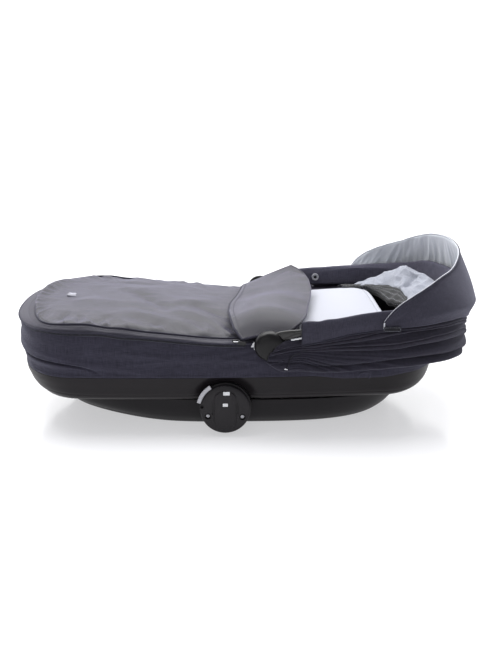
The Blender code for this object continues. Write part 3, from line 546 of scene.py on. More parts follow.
# ---- hull -----------------------------------------------------------------
def catmull(keys, t):
    """Smooth value through equally spaced keys, t from 0 to 1."""
    n = len(keys) - 1
    f = min(max(t, 0.0), 1.0) * n
    i = min(int(f), n - 1)
    u = f - i
    p = [keys[max(0, i - 1)], keys[i], keys[i + 1], keys[min(n, i + 2)]]
    def one(a, b, c, d):
        return 0.5 * (2 * b + (c - a) * u + (2 * a - 5 * b + 4 * c - d) * u * u + (3 * b - a - 3 * c + d) * u ** 3)
    if isinstance(p[0], tuple):
        return tuple(one(*q) for q in zip(*p))
    return one(*p)


def applied(o):
    """Bakes the object's modifiers into its mesh."""
    dg = bpy.context.evaluated_depsgraph_get()
    dg.update()
    me = D.meshes.new_from_object(o.evaluated_get(dg))
    old = o.data
    o.modifiers.clear()
    o.data = me
    D.meshes.remove(old)
    return o


def hub_cutter(r=0.0462):
    verts, faces, n = [], [], 96
    for s in (-1, 1):
        base = len(verts)
        for y in (0.150, 0.240):
            for k in range(n):
                a = 2 * pi * k / n
                verts.append((HUB.x + r * cos(a), s * y, HUB.z + r * sin(a)))
        for k in range(n):
            faces.append((base + k, base + (k + 1) % n, base + n + (k + 1) % n, base + n + k))
        faces += [tuple(range(base, base + n)), tuple(range(base + n, base + 2 * n))]
    o = obj_from("hub_cutter", verts, faces)
    bm = bmesh.new(); bm.from_mesh(o.data); bmesh.ops.recalc_face_normals(bm, faces=bm.faces); bm.to_mesh(o.data); bm.free()
    return o


def cut_by(o, cutter):
    md = o.modifiers.new("cut", "BOOLEAN")
    md.operation, md.object, md.solver = "DIFFERENCE", cutter, "EXACT"
    applied(o)
    return o


def sink(x, z):
    """Depth of the scooped recess round the hub, greatest above it."""
    dx, dz = x - HUB.x, z - HUB.z
    r = math.hypot(dx, dz)
    a = max(0.0, dz / max(r, 1e-6))
    return 0.0065 * (1 - smoothstep(0.046, 0.064, r)) * (0.35 + 0.65 * a) + 0.003 * a * (1 - smoothstep(0.046, 0.085, r))


SHELL_N = 520
shell_keys = [(0.0, 0.1040), (0.0005, 0.0985), (0.0014, 0.0920), (0.0030, 0.0845), (0.0046, 0.0775), (0.0068, 0.0722),
              (0.0098, 0.0670), (0.0138, 0.0628), (0.0180, 0.0602), (0.0230, 0.0580), (0.0330, 0.0566), (0.0450, 0.0560)]
rim_loop = resample(plan(FOOT_X + 0.0040, HEAD_X), SHELL_N)
rows = []
for j in range(45):
    d, z0 = catmull(shell_keys, j / 44)
    under = smoothstep(0.100, 0.074, z0) * smoothstep(0.0560, 0.0600, z0)
    row = []
    for x, y in inset(rim_loop, d):
        z = z0 + ((0.010 * smoothstep(-0.29, -0.42, x) + 0.004 * smoothstep(0.24, 0.34, x)) * under)
        k = sink(x, z) * smoothstep(0.5, 0.9, abs(y) / 0.2)
        # moulded swage line along the lower side
        k += 0.0009 * math.exp(-((z - 0.0695 - 0.006 * smoothstep(-0.25, -0.4, x)) / 0.0011) ** 2)
        row.append((x, y - math.copysign(min(k, abs(y)), y), z))
    rows.append(row)
rows.append([(x * 0.55, y * 0.45, 0.0560) for x, y, _ in rows[-1]])
shell = grid("hull_shell", rows, [M["shell"]], closed=True, flip=True)
bm = bmesh.new(); bm.from_mesh(shell.data); bm.verts.ensure_lookup_table()
bm.faces.new([bm.verts[(len(rows) - 1) * SHELL_N + i] for i in range(SHELL_N)])
bmesh.ops.recalc_face_normals(bm, faces=bm.faces); bm.to_mesh(shell.data); bm.free()
solidify(shell, 0.0022)
cutter = hub_cutter()
cut_by(shell, cutter)
sharp(shell, 45)
straps(shell, "root", "shell_plastic", "base_shell")


def keel_outline(tip_f, tip_h, half, k=130):
    xc, near = -0.05, []
    for i in range(k + 1):
        a = pi * i / k
        x = xc - cos(a) * (xc - tip_f if a < pi / 2 else tip_h - xc)
        t = abs((x - xc) / ((tip_f - xc) if x < xc else (tip_h - xc)))
        y = (max(0.0, 1 - t ** 2.2)) ** 0.58 if x < xc else (max(0.0, 1 - t ** 4)) ** 0.45
        near.append((x, -half * y if 0 < i < k else 0.0))
    return near + [(x, -y) for x, y in near[1:-1]][::-1]


keel_keys = [(-0.3720, 0.2980, 0.1800, 0.0542, 0.0), (-0.3716, 0.2975, 0.1797, 0.0520, 0.0),
             (-0.3690, 0.2935, 0.1782, 0.0468, 0.0), (-0.3650, 0.2880, 0.1748, 0.0370, 0.0),
             (-0.3600, 0.2810, 0.1700, 0.0260, 0.1), (-0.3540, 0.2730, 0.1645, 0.0165, 0.5),
             (-0.3480, 0.2640, 0.1580, 0.0088, 1.0), (-0.3430, 0.2570, 0.1530, 0.0040, 1.0),
             (-0.3380, 0.2500, 0.1480, 0.0012, 1.0), (-0.3340, 0.2460, 0.1440, 0.0001, 1.0)]
rows = []
for j in range(41):
    f, h, w, z0, k = catmull(keel_keys, j / 40)
    rows.append([(x, y - math.copysign(min(abs(y), sink(x, z0) * smoothstep(0.5, 0.85, abs(y) / 0.18)), y),
                  z0 + 0.006 * k * smoothstep(-0.13, -0.30, x)) for x, y in keel_outline(f, h, w)])
rows.append([(x, y, 0.0) for x, y in keel_outline(-0.120, 0.170, 0.115)])
KN = len(rows[0])
keel = grid("hull_keel", rows, [M["keel"]], closed=True, flip=True)
bm = bmesh.new(); bm.from_mesh(keel.data); bm.verts.ensure_lookup_table()
bm.faces.new([bm.verts[(len(rows) - 1) * KN + i] for i in range(KN)])
bmesh.ops.remove_doubles(bm, verts=bm.verts, dist=1e-6)
bmesh.ops.recalc_face_normals(bm, faces=bm.faces); bm.to_mesh(keel.data); bm.free()
solidify(keel, 0.0022)
cut_by(keel, cutter)
sharp(keel, 45)
straps(keel, "root", "shell_plastic", "base_keel")
D.objects.remove(cutter, do_unlink=True)

# ---- side hubs: turned rim, raised tongue panel, arc lever -----------------
for tag, s in (("left", -1), ("right", 1)):
    prof = [(0.0020, 0.1620), (0.0454, 0.1620), (0.0454, 0.2030), (0.0452, 0.2040), (0.0436, 0.2044),
            (0.0435, 0.2125), (0.0432, 0.2138), (0.0425, 0.2149), (0.0414, 0.2155), (0.0340, 0.21555), (0.0020, 0.2156)]
    disc = lathe(f"{tag}_hub_disc", prof, M["hub"], HUB, s, seg=128)
    n = 96
    verts, faces = [], []
    # pockets that the screws stand in, and the notch in the rim below the lever
    pockets = []
    for dx, dz, rr, dep in ((-0.0304, -0.0118, 0.0056, 0.0040), (0.0297, -0.0136, 0.0056, 0.0040)):
        verts, faces = [], []
        for y in (0.2156 - dep, 0.2190):
            for k in range(32):
                a = 2 * pi * k / 32
                verts.append((HUB.x + dx + rr * cos(a), s * y, HUB.z + dz + rr * sin(a)))
        faces = [tuple(range(32)), tuple(range(32, 64))] + [(k, (k + 1) % 32, 32 + (k + 1) % 32, 32 + k) for k in range(32)]
        pockets.append(obj_from("pocket", verts, faces))
    # notch
    verts = []
    for y in (0.2090, 0.2200):
        for r, a in ((0.0385, 176), (0.0480, 176), (0.0480, 167), (0.0385, 167)):
            verts.append((HUB.x + r * cos(radians(a)), s * y, HUB.z + r * sin(radians(a))))
    pockets.append(obj_from("pocket", verts, [(0, 1, 2, 3), (4, 5, 6, 7), (0, 1, 5, 4), (1, 2, 6, 5), (2, 3, 7, 6), (3, 0, 4, 7)]))
    # shallow slots beside the tongue
    for x0, x1, z0, z1 in ((-0.0232, -0.0212, -0.0085, 0.0125), (0.0212, 0.0228, -0.0085, 0.0125)):
        verts = [(HUB.x + x, s * y, HUB.z + z) for y in (0.2138, 0.2200) for x, z in ((x0, z0), (x1, z0), (x1, z1), (x0, z1))]
        pockets.append(obj_from("pocket", verts, [(0, 1, 2, 3), (4, 5, 6, 7), (0, 1, 5, 4), (1, 2, 6, 5), (2, 3, 7, 6), (3, 0, 4, 7)]))
    for q in pockets:
        bm = bmesh.new(); bm.from_mesh(q.data); bmesh.ops.recalc_face_normals(bm, faces=bm.faces); bm.to_mesh(q.data); bm.free()
        md = disc.modifiers.new("cut", "BOOLEAN")
        md.operation, md.object, md.solver = "DIFFERENCE", q, "EXACT"
    applied(disc)
    for q in pockets:
        D.objects.remove(q, do_unlink=True)
    sharp(disc, 35)
    straps(disc, "root", "hub_plastic", f"{tag}_hub_housing")
    # tongue: straight sides, chamfered foot, its head runs into the disc's upper edge
    w, top = 0.0188, 0.0237
    out = [(-w, top - 0.004), (-w, -0.0215), (-w + 0.0042, -0.0300), (-w + 0.0075, -0.0325), (w - 0.0075, -0.0325),
           (w - 0.0042, -0.0300), (w, -0.0215), (w, top - 0.004)]
    out += [(w * cos(a), top - 0.004 + 0.0150 * sin(a)) for a in [pi * k / 24 for k in range(1, 24)]]
    tongue = prism(f"{tag}_hub_tongue", [(HUB.x + x, HUB.z + z) for x, z in out], 0.2150, 0.2179, M["hub"], s, bev=0.0011)
    wins = []
    for q, (dx, dz, ww, hh) in enumerate(((0.0020, 0.0305, 0.0115, 0.0062), (0.0, 0.0096, 0.0092, 0.0058))):
        outline = round_rect(HUB.x + dx, HUB.z + dz, ww, hh, 0.0009)
        wins.append((outline, dx, dz, ww, hh, "upper" if q == 0 else "lower"))
    cuts = []
    for outline, dx, dz, ww, hh, nm in wins:
        cuts.append(prism("pocket", [(HUB.x + dx + (x - HUB.x - dx) * 1.16, HUB.z + dz + (z - HUB.z - dz) * 1.24)
                                     for x, z in outline], 0.2168, 0.2230, M["hub"], s, bev=0))
    for q in cuts:
        md = tongue.modifiers.new("cut", "BOOLEAN")
        md.operation, md.object, md.solver = "DIFFERENCE", q, "EXACT"
    applied(tongue)
    for q in cuts:
        D.objects.remove(q, do_unlink=True)
    sharp(tongue, 35)
    straps(tongue, "root", "hub_plastic", f"{tag}_hub_cover")
    for outline, dx, dz, ww, hh, nm in wins:
        pane = prism(f"{tag}_window_{nm}", outline, 0.2162, 0.2177, M["pale"], s, bev=0.0003)
        straps(pane, "root", "pale_plastic", f"{tag}_hub_window_{nm}")
    for nm, dx, dz in (("front", -0.0304, -0.0118), ("rear", 0.0297, -0.0136)):
        prof = [(0.0004, 0.2114), (0.0030, 0.2114), (0.0034, 0.2128), (0.0031, 0.2138), (0.0020, 0.2144), (0.0004, 0.2146)]
        head = lathe(f"{tag}_screw_{nm}", prof, M["steel"], (HUB.x + dx, 0, HUB.z + dz), s, seg=32)
        crosses = []
        for a in (radians(32 if nm == "front" else 61), radians(122 if nm == "front" else 151)):
            c, sn = cos(a), sin(a)
            outl = [(HUB.x + dx + px * c - pz * sn, HUB.z + dz + px * sn + pz * c)
                    for px, pz in ((-0.0021, -0.00042), (0.0021, -0.00042), (0.0021, 0.00042), (-0.0021, 0.00042))]
            crosses.append(prism("pocket", outl, 0.2130, 0.2190, M["steel"], s, bev=0))
        for q in crosses:
            md = head.modifiers.new("cut", "BOOLEAN")
            md.operation, md.object, md.solver = "DIFFERENCE", q, "EXACT"
        applied(head)
        for q in crosses:
            D.objects.remove(q, do_unlink=True)
        sharp(head, 35)
        straps(head, "root", "screw_steel", f"{tag}_hub_screw_{nm}")
    arc = []
    for k in range(25):
        a = radians(122 + 44 * k / 24)
        arc.append((HUB.x + 0.0441 * cos(a), HUB.z + 0.0441 * sin(a)))
    for k in range(25):
        a = radians(166 - 44 * k / 24)
        arc.append((HUB.x + 0.0511 * cos(a), HUB.z + 0.0511 * sin(a)))
    lever = prism(f"{tag}_arc_lever", arc, 0.2084, 0.2129, M["lever"], s, bev=0.0010)
    straps(lever, f"{tag}_lever", "lever_plastic", f"{tag}_release_lever")

# ---- fabric wall ----------------------------------------------------------
W_LOW = plan(FOOT_X + 0.0048, HEAD_X + 0.003, 0.0015)
W_MID = plan(FOOT_X + 0.0010, HEAD_X + 0.003, 0.0010)
W_TOP = plan(FOOT_X - 0.0015, HEAD_X + 0.001, -0.0050)
W_HEM = plan(FOOT_X + 0.0045, HEAD_X + 0.003, 0.0012)
WN = 900
w_top, w_mid, w_low, w_hem = (resample(q, WN) for q in (W_TOP, W_MID, W_LOW, W_HEM))
w_nrm = []
for i in range(WN):
    (xa, ya), (xb, yb) = w_mid[i - 1], w_mid[(i + 1) % WN]
    l = math.hypot(xb - xa, yb - ya)
    w_nrm.append(((yb - ya) / l, -(xb - xa) / l))
w_arc = lengths(w_mid)


def foot_rise(x):
    """The cover and the apron's side strip climb towards the foot end."""
    return 0.0060 * smoothstep(-0.215, -0.265, x) + 0.0045 * smoothstep(-0.30, -0.37, x) + 0.0045 * smoothstep(-0.375, -0.415, x)


def fold_z(x, y):
    """Height of the overlap fold round the foot end."""
    t = max(0.0, min(1.0, (x + 0.436) / 0.173))
    u = max(0.0, min(1.0, (x + 0.436) / 0.178))
    return 0.1085 + 0.0245 * (1 - u ** 4) ** 0.75 + 0.0080 * smoothstep(0.22, 0.0, u) + (0.0015 if y > 0 else 0.0)


def wall_push(i, x, y, z, v):
    """Outward displacement of the wall: overlap fold, tension wrinkles, hem gathers."""
    s = w_arc[i]
    d = 0.0
    foot = 1 - smoothstep(-0.335, -0.235, x)
    if foot > 0:
        zf = fold_z(x, y) + 0.0012 * n3(s, 0, 0, 14, 2.0)
        h = z - zf
        step = 0.0042 * smoothstep(-0.0010, 0.0022, h) * (1 - 0.55 * smoothstep(0.004, 0.030, h))
        groove = -0.0040 * math.exp(-((h + 0.0008) / 0.0016) ** 2)
        below = 0.0020 * smoothstep(-0.016, -0.004, h) * (1 - smoothstep(-0.004, -0.001, h))
        d += foot * (step + groove + below)
    # long shallow wrinkles along the wall
    amp = smoothstep(0.0, 0.25, v) * (1 - smoothstep(0.86, 1.0, v))
    w = n3(x * 5.2, y * 5.2, z * 46, 1.0, 3.1)
    d += amp * 0.0021 * (ridged(w, 3.0) - 0.35)
    w = n3(x * 11 + z * 20, y * 11, z * 60, 1.0, 9.7)
    d += amp * 0.0010 * w
    w = n3(x * 3.0 - z * 6, y * 3.0, z * 22, 1.0, 21.7)
    d += amp * 0.0022 * w
    # slanting drag lines near the hinge and the foot corners
    for cx, cz, slope in ((0.02, 0.150, 0.25), (-0.33, 0.140, -0.18)):
        q = (z - cz) - slope * (x - cx)
        d += amp * 0.0014 * math.exp(-(q / 0.0035) ** 2) * math.exp(-((x - cx) / 0.075) ** 2)
    # small gathers under the top seam and above the bottom hem
    g = n3(s, 0, z * 0.08, 62, 5.5)
    d += 0.0009 * g * (1 - smoothstep(0.0, 0.22, v))
    g = n3(s, 0, z * 0.05, 38, 8.5)
    d += 0.0008 * g * smoothstep(0.72, 0.95, v)
    return d


rows = []
R = 64
for j in range(R):
    v = j / (R - 1)
    row = []
    for i in range(WN):
        a, b2, c, e = w_top[i], w_mid[i], w_low[i], w_hem[i]
        zt = wall_top(a[0]) + 0.0004 + foot_rise(a[0])
        zb = 0.1050 - 0.0058 * smoothstep(0.100, 0.165, a[0]) + 0.0050 * smoothstep(0.220, 0.270, a[0])
        z = zt + (zb - zt) * v
        if v < 0.5:
            t = v / 0.5
            t = sin(t * pi / 2)
            x, y = lerp(a[0], b2[0], t), lerp(a[1], b2[1], t)
        elif v < 0.88:
            t = smoothstep(0, 1, (v - 0.5) / 0.38)
            x, y = lerp(b2[0], c[0], t), lerp(b2[1], c[1], t)
        else:
            t = (v - 0.88) / 0.12
            x, y = lerp(c[0], e[0], t * t), lerp(c[1], e[1], t * t)
        d = wall_push(i, x, y, z, v)
        nx, ny = w_nrm[i]
        row.append((x + nx * d, y + ny * d, z))
    rows.append(row)
# rolled hem: the cloth turns under against the shell
for dd, dz in ((-0.0012, -0.0012), (-0.0026, -0.0010), (-0.0030, 0.0008)):
    row = []
    for i in range(WN):
        x, y, z = rows[R - 1][i]
        nx, ny = w_nrm[i]
        row.append((x + nx * dd, y + ny * dd, z + dz + 0.0008))
    rows.append(row)
wall = grid("wall_cover", rows, [M["wall"]], closed=True, flip=True)
solidify(wall, 0.0011)
straps(wall, "root", "navy_fabric", "outer_cover")

# stiffening board and hoop inside the cover, following it round
board_rows = [[(rows[j][i][0] - w_nrm[i][0] * 0.0040, rows[j][i][1] - w_nrm[i][1] * 0.0040, rows[j][i][2]) for i in range(0, WN, 2)]
              for j in range(12, R - 2)]
stiffener = grid("wall_stiffener", board_rows, [M["board"]], closed=True, flip=True)
solidify(stiffener, 0.0012, even=False)
straps(stiffener, "root", "board_plastic", "wall_board")
hoop_path = [(x - w_nrm[i][0] * 0.0066, y - w_nrm[i][1] * 0.0066, wall_top(x) + foot_rise(x) - 0.0062) for i, (x, y) in enumerate(w_top)][::2]
hoop = tube("rim_hoop", hoop_path, 0.0040, M["steel"], seg=12, closed=True)
straps(hoop, "root", "frame_aluminium", "rim_frame")

wall_hem_path = [rows[R - 4][i] for i in range(WN)]
hem_stitch = stitch_line("wall_hem_stitches", [(x + w_nrm[i][0] * 0.0002, y + w_nrm[i][1] * 0.0002, z + 0.0012)
                                               for i, (x, y, z) in enumerate(wall_hem_path)] +
                         [wall_hem_path[0]], M["piping"], r=0.00032)
straps(hem_stitch, "root", "navy_fabric")
top_edge = [(x, y, wall_top(x) + 0.0010) for x, y in inset(w_top, 0.0004)]
bind = tube("wall_top_binding", top_edge, 0.0016, M["piping"], seg=10, closed=True)
straps(bind, "root", "navy_fabric")

# ---- lining, board, mattress ---------------------------------------------
lin_top, lin_low = inset(w_top, 0.0112), inset(resample(W_HEM, WN), 0.0130)
rows = []
for j in range(26):
    v = j / 25
    row = []
    for i in range(0, WN, 2):
        a, b2 = lin_top[i], lin_low[i]
        x, y = lerp(a[0], b2[0], v), lerp(a[1], b2[1], v)
        z = lerp(wall_top(a[0]) - 0.001, RIM_Z + 0.0012, v)
        d = 0.0014 * n3(x * 7, y * 7, z * 18, 1.0, 4.0) * sin(pi * min(1, v * 1.2)) - 0.0006
        row.append((x + w_nrm[i][0] * d, y + w_nrm[i][1] * d, z))
    rows.append(row)
lining = grid("cabin_lining", rows, [M["lining"]], closed=True)
solidify(lining, 0.0010)
straps(lining, "root", "lining_fabric", "inner_lining")
# soft roll over the wall's top edge, from the outer seam to the lining
rows = []
for k in range(9):
    a = pi * k / 8
    row = []
    for i in range(0, WN, 2):
        xo, yo = w_top[i]
        xi, yi = lin_top[i]
        mx, my = (xo + xi) / 2, (yo + yi) / 2
        row.append((mx + (xo - mx) * cos(a), my + (yo - my) * cos(a), wall_top(xo) - 0.0006 + 0.0018 * sin(a)))
    rows.append(row)
roll = grid("wall_top_roll", rows, [M["lining"]], closed=True)
solidify(roll, 0.0008)
straps(roll, "root", "navy_fabric")
# ---- apron ----------------------------------------------------------------
def zip_z(x):
    """Height of the seam where the apron joins the wall."""
    return wall_top(x) + 0.0006 + foot_rise(x)


def pipe_z(x):
    """Height of the piped seam between the apron's side strip and its top panel."""
    return (wall_top(x) + 0.0126 + 0.0062 * smoothstep(-0.240, -0.290, x) + 0.0050 * smoothstep(-0.34, -0.400, x) - 0.0050 * smoothstep(-0.235, -0.175, x)
            - 0.0032 * smoothstep(-0.12, -0.03, x))


def u_part(loop, x_end):
    """The foot-end part of a closed outline, from the far side at x_end round the foot to the near side."""
    n = len(loop)
    far = [p for p in loop[n // 2:] if p[0] <= x_end]
    near = [p for p in loop[:n // 2] if p[0] <= x_end]
    return [(x_end, far[0][1])] + far + near + [(x_end, near[-1][1])]


APRON_END = 0.088
AN = 760
a_out = resample(u_part(plan(FOOT_X + 0.0005, HEAD_X + 0.001, -0.0050, kf=120), APRON_END), AN, closed=False)
a_nrm = []
for i in range(AN):
    (xa, ya), (xb, yb) = a_out[max(0, i - 1)], a_out[min(AN - 1, i + 1)]
    l = math.hypot(xb - xa, yb - ya)
    a_nrm.append(((yb - ya) / l, -(xb - xa) / l))
a_arc = lengths(a_out)
_edge = sorted((x, y) for x, y in a_out if y >= 0)


def edge_y(x):
    lo, hi = 0, len(_edge) - 1
    while hi - lo > 1:
        m = (lo + hi) // 2
        if _edge[m][0] <= x:
            lo = m
        else:
            hi = m
    (xa, ya), (xb, yb) = _edge[lo], _edge[hi]
    return lerp(ya, yb, max(0, min(1, (x - xa) / max(1e-9, xb - xa))))


def crown(x):
    return (0.0125 + 0.0050 * smoothstep(0.0, -0.12, x)) * (
        max(0.0, 1 - max(0.0, (-0.33 - x) / 0.1055) ** 2.2)) ** 0.5


def apron_z(x, y):
    t = min(1.0, abs(y) / max(1e-6, edge_y(x)))
    tilt = 0.030 * smoothstep(0.0, 0.10, x) * smoothstep(-0.14, 0.16, y)
    return wall_top(x) + 0.0064 + crown(x) * (1 - t ** 4.2) + tilt


def line_dist(x, y, a, b):
    """Distance from the segment, and the share along it."""
    dx, dy = b[0] - a[0], b[1] - a[1]
    t = max(0.0, min(1.0, ((x - a[0]) * dx + (y - a[1]) * dy) / (dx * dx + dy * dy)))
    return math.hypot(x - a[0] - t * dx, y - a[1] - t * dy), t


A_FOLDS = [  # start, end, depth, half width
    ((-0.235, 0.037), (-0.148, -0.077), -0.0048, 0.015),
    ((-0.215, 0.075), (-0.190, 0.030), 0.0026, 0.018),
    ((-0.140, -0.031), (-0.080, -0.008), 0.0034, 0.020),
    ((-0.094, -0.055), (-0.041, -0.094), -0.0040, 0.014),
    ((-0.122, -0.092), (-0.050, -0.138), 0.0030, 0.015),
    ((-0.220, -0.112), (-0.133, -0.150), 0.0030, 0.016),
    ((-0.330, -0.030), (-0.230, -0.060), 0.0020, 0.022),
    ((-0.300, 0.120), (-0.180, 0.100), -0.0022, 0.016),
    ((-0.255, -0.150), (-0.262, -0.190), -0.0036, 0.008),
    ((-0.160, -0.160), (-0.171, -0.195), -0.0036, 0.009),
    ((-0.326, -0.120), (-0.334, -0.165), -0.0034, 0.007),
    ((-0.300, -0.140), (-0.296, -0.185), -0.0030, 0.006),
    ((-0.060, -0.120), (-0.020, -0.165), -0.0024, 0.010),
]


def apron_push(i, u, x, y):
    s = a_arc[i]
    d = 0.0
    # gathers that run in from the piped seam
    g = n3((s + 0.10 * u) * 34, u * 2.4, 0, 1.0, 1.5)
    g2 = n3((s + 0.10 * u) * 70, u * 4.0, 0, 1.0, 4.5)
    near = math.exp(-((u - 0.05) / 0.15) ** 2)
    calm = 0.45 + 0.55 * smoothstep(-0.36, -0.30, x)
    d += calm * near * (0.0058 * (ridged(g, 1.6) - 0.42) + 0.0016 * g2)
    d += math.exp(-(u / 0.05) ** 2) * 0.0011 * n3(s, 0, 0, 120, 8.0)
    if u > 0.03:
        w = smoothstep(0.03, 0.16, u)
        for a, b2, depth, half in A_FOLDS:
            q, t = line_dist(x, y, a, b2)
            if q < half * 2.6:
                d += w * depth * math.exp(-(q / half) ** 2) * (0.55 + 0.45 * sin(pi * t))
        d += w * 0.0030 * fbm(x + 0.5 * y, y * 0.8 - 0.2 * x, 0, 9, 6.6, 2)
        d += w * 0.0012 * fbm(x, y, 0, 24, 3.3, 2)
    return d


rows = []
G = 9                    # rows of the side strip
for g in range(G):
    t = g / (G - 1)
    row = []
    for i in range(AN):
        x, y = a_out[i]
        nx, ny = a_nrm[i]
        z0, z1 = zip_z(x), pipe_z(x)
        out = 0.0046 + 0.0020 * sin(pi * min(1, t * 1.15)) - 0.0105 * t ** 1.5
        out += 0.0008 * n3(a_arc[i], t, 0, 55, 2.2) * sin(pi * t) + 0.0011 * n3(a_arc[i], t * 0.5, 0, 20, 12.0) * t
        bulge = 0.0065 * smoothstep(-0.335, -0.430, x) * (1 - t)
        out += bulge * 0.05 - 0.0190 * t ** 1.3 * smoothstep(-0.35, -0.425, x) - 0.0100 * t * smoothstep(-0.12, -0.01, x)
        row.append((x + nx * out, y + ny * out, lerp(z0, z1, t)))
    rows.append(row)
side_rows = [list(r) for r in rows]
P = 54
for k in range(1, P + 1):
    f = k / P
    u = f ** 1.25
    row = []
    for i in range(AN):
        x0, y0 = rows[G - 1][i][:2]
        xs = max(-0.285, x0) if x0 < 0.0 else x0
        x, y = lerp(x0, xs, u), y0 * (1 - u)
        base = pipe_z(x0) - (wall_top(x0) + 0.0064)
        zc = apron_z(x, y)
        lip = 0.0022 * math.exp(-((u - 0.012) / 0.018) ** 2)
        z = zc + base * (1 - u) ** 6 - lip
        d = apron_push(i, u, x, y) * (1 - smoothstep(0.9, 1.0, u) * 0.0)
        fade = smoothstep(0.0, 0.02, u)
        row.append((x, y, z + d * fade))
    rows.append(row)
# the far and near halves meet on the spine
last = rows[-1]
for i in range(AN // 2):
    a, b2 = last[i], last[AN - 1 - i]
    z = (a[2] + b2[2]) / 2
    last[i] = (a[0], 0.0, z)
    last[AN - 1 - i] = (b2[0], 0.0, z)
for back, w in ((2, 0.25), (3, 0.5), (4, 0.75)):
    r = rows[-back]
    for i in range(AN):
        m = (r[i][2] + r[AN - 1 - i][2]) / 2
        r[i] = (r[i][0], r[i][1], lerp(m, r[i][2], w)) if i < AN // 2 else r[i]
top = grid("apron_cloth", rows, [M["apron"]], flip=False)
# woven direction follows the plan on the top panel
uv = top.data.uv_layers[0].data
co = top.data.vertices
for l in top.data.loops:
    p = co[l.vertex_index].co
    if l.vertex_index >= G * AN:
        uv[l.index].uv = (p.x, p.y)
    else:
        uv[l.index].uv = (a_arc[l.vertex_index % AN], p.z)
bm = bmesh.new(); bm.from_mesh(top.data)
bmesh.ops.remove_doubles(bm, verts=[v for v in bm.verts if abs(v.co.y) < 1e-6], dist=2e-4)
bmesh.ops.recalc_face_normals(bm, faces=bm.faces)
if sum(f.normal.z for f in bm.faces) < 0:
    bmesh.ops.reverse_faces(bm, faces=bm.faces)
bm.to_mesh(top.data); bm.free()
# painted shade: the side strip's faces take the duller copy of the twill
top.data.materials.append(M["strip"])
for p in top.data.polygons:
    if max(p.vertices) < G * AN:
        p.material_index = 1
solidify(top, 0.0012)
straps(top, "apron", "apron_fabric", "apron")

pipe = [(x - a_nrm[i][0] * 0.0002, y - a_nrm[i][1] * 0.0002, z + 0.0006) for i, (x, y, z) in enumerate(side_rows[-1])]
p1 = tube("apron_piping", pipe, 0.0017, M["piping"], seg=10)
straps(p1, "apron", "apron_fabric")
low = [(x + a_nrm[i][0] * 0.0006, y + a_nrm[i][1] * 0.0006, z - 0.0002) for i, (x, y, z) in enumerate(side_rows[0])]
p2 = tube("apron_zip_lip", low, 0.0015, M["piping"], seg=10)
straps(p2, "apron", "apron_fabric")
st = stitch_line("apron_seam_stitches", [(x + a_nrm[i][0] * 0.0010, y + a_nrm[i][1] * 0.0010, z) for i, (x, y, z) in
                                         enumerate(side_rows[6])], M["apron"], r=0.0003)
straps(st, "apron", "apron_fabric")

# zip: tape and coil below the lip
zs = [i for i in range(AN) if a_out[i][0] < -0.010]
rows = []
for dz, out in ((0.0010, 0.0030), (-0.0014, 0.0040), (-0.0030, 0.0040), (-0.0048, 0.0034), (-0.0062, 0.0020)):
    rows.append([(a_out[i][0] + a_nrm[i][0] * out, a_out[i][1] + a_nrm[i][1] * out, zip_z(a_out[i][0]) + dz) for i in zs])
tape = grid("zip_tape_cloth", rows, [M["tape"]])
solidify(tape, 0.0007)
straps(tape, "root", "zip_tape", "zip_tape")
coil = [(a_out[i][0] + a_nrm[i][0] * 0.0043, a_out[i][1] + a_nrm[i][1] * 0.0043, zip_z(a_out[i][0]) - 0.0024) for i in zs]
coil = resample([tuple(p) for p in coil], 900, closed=False)
ct = tube("zip_coil", coil, 0.0008, M["tape"], seg=6)
for v in ct.data.vertices:
    k = v.index // 6
    if k % 2:
        c = Vector(coil[min(k, len(coil) - 1)])
        v.co = c + (v.co - c) * 1.5
straps(ct, "root", "zip_tape")

# badge: bare satin plate with a rolled edge, sewn on
bx, by = -0.335, 0.0
prof = round_rect(0, 0, 0.0165, 0.0205, 0.0022)
bz = apron_z(bx, by) + 0.0030
verts, faces = [], []
levels = ((1.0, -0.0030), (1.0, 0.0004), (0.93, 0.0012), (0.86, 0.0011), (0.80, 0.0006), (0.0, 0.0006))
for sc, dz in levels:
    for px, py in prof:
        verts.append((bx + px * sc, by + py * sc, bz + dz - 0.10 * (px * sc)))
n = len(prof)
for j in range(len(levels) - 1):
    faces += [(j * n + k, j * n + (k + 1) % n, (j + 1) * n + (k + 1) % n, (j + 1) * n + k) for k in range(n)]
badge = obj_from("badge_bare_plate", verts, faces, [M["badge"]])
bm = bmesh.new(); bm.from_mesh(badge.data); bmesh.ops.remove_doubles(bm, verts=bm.verts, dist=1e-6)
bmesh.ops.holes_fill(bm, edges=bm.edges); bmesh.ops.recalc_face_normals(bm, faces=bm.faces); bm.to_mesh(badge.data); bm.free()
sharp(badge, 40)
straps(badge, "apron", "badge_metal", "badge_plate")

# ---- flap: the apron's head end folded back --------------------------------
def table(points, r=0.006):
    """Value at a station from a short table, eased over a small length."""
    def f(q):
        if q <= points[0][0]:
            return points[0][1]
        for (qa, va), (qb, vb) in zip(points, points[1:]):
            if q <= qb:
                return va + (vb - va) * (q - qa) / (qb - qa)
        return points[-1][1]
    def g(q):
        return sum(f(q + r * k / 3) * w for k, w in zip(range(-3, 4), (1, 2, 3, 4, 3, 2, 1))) / 16
    return g


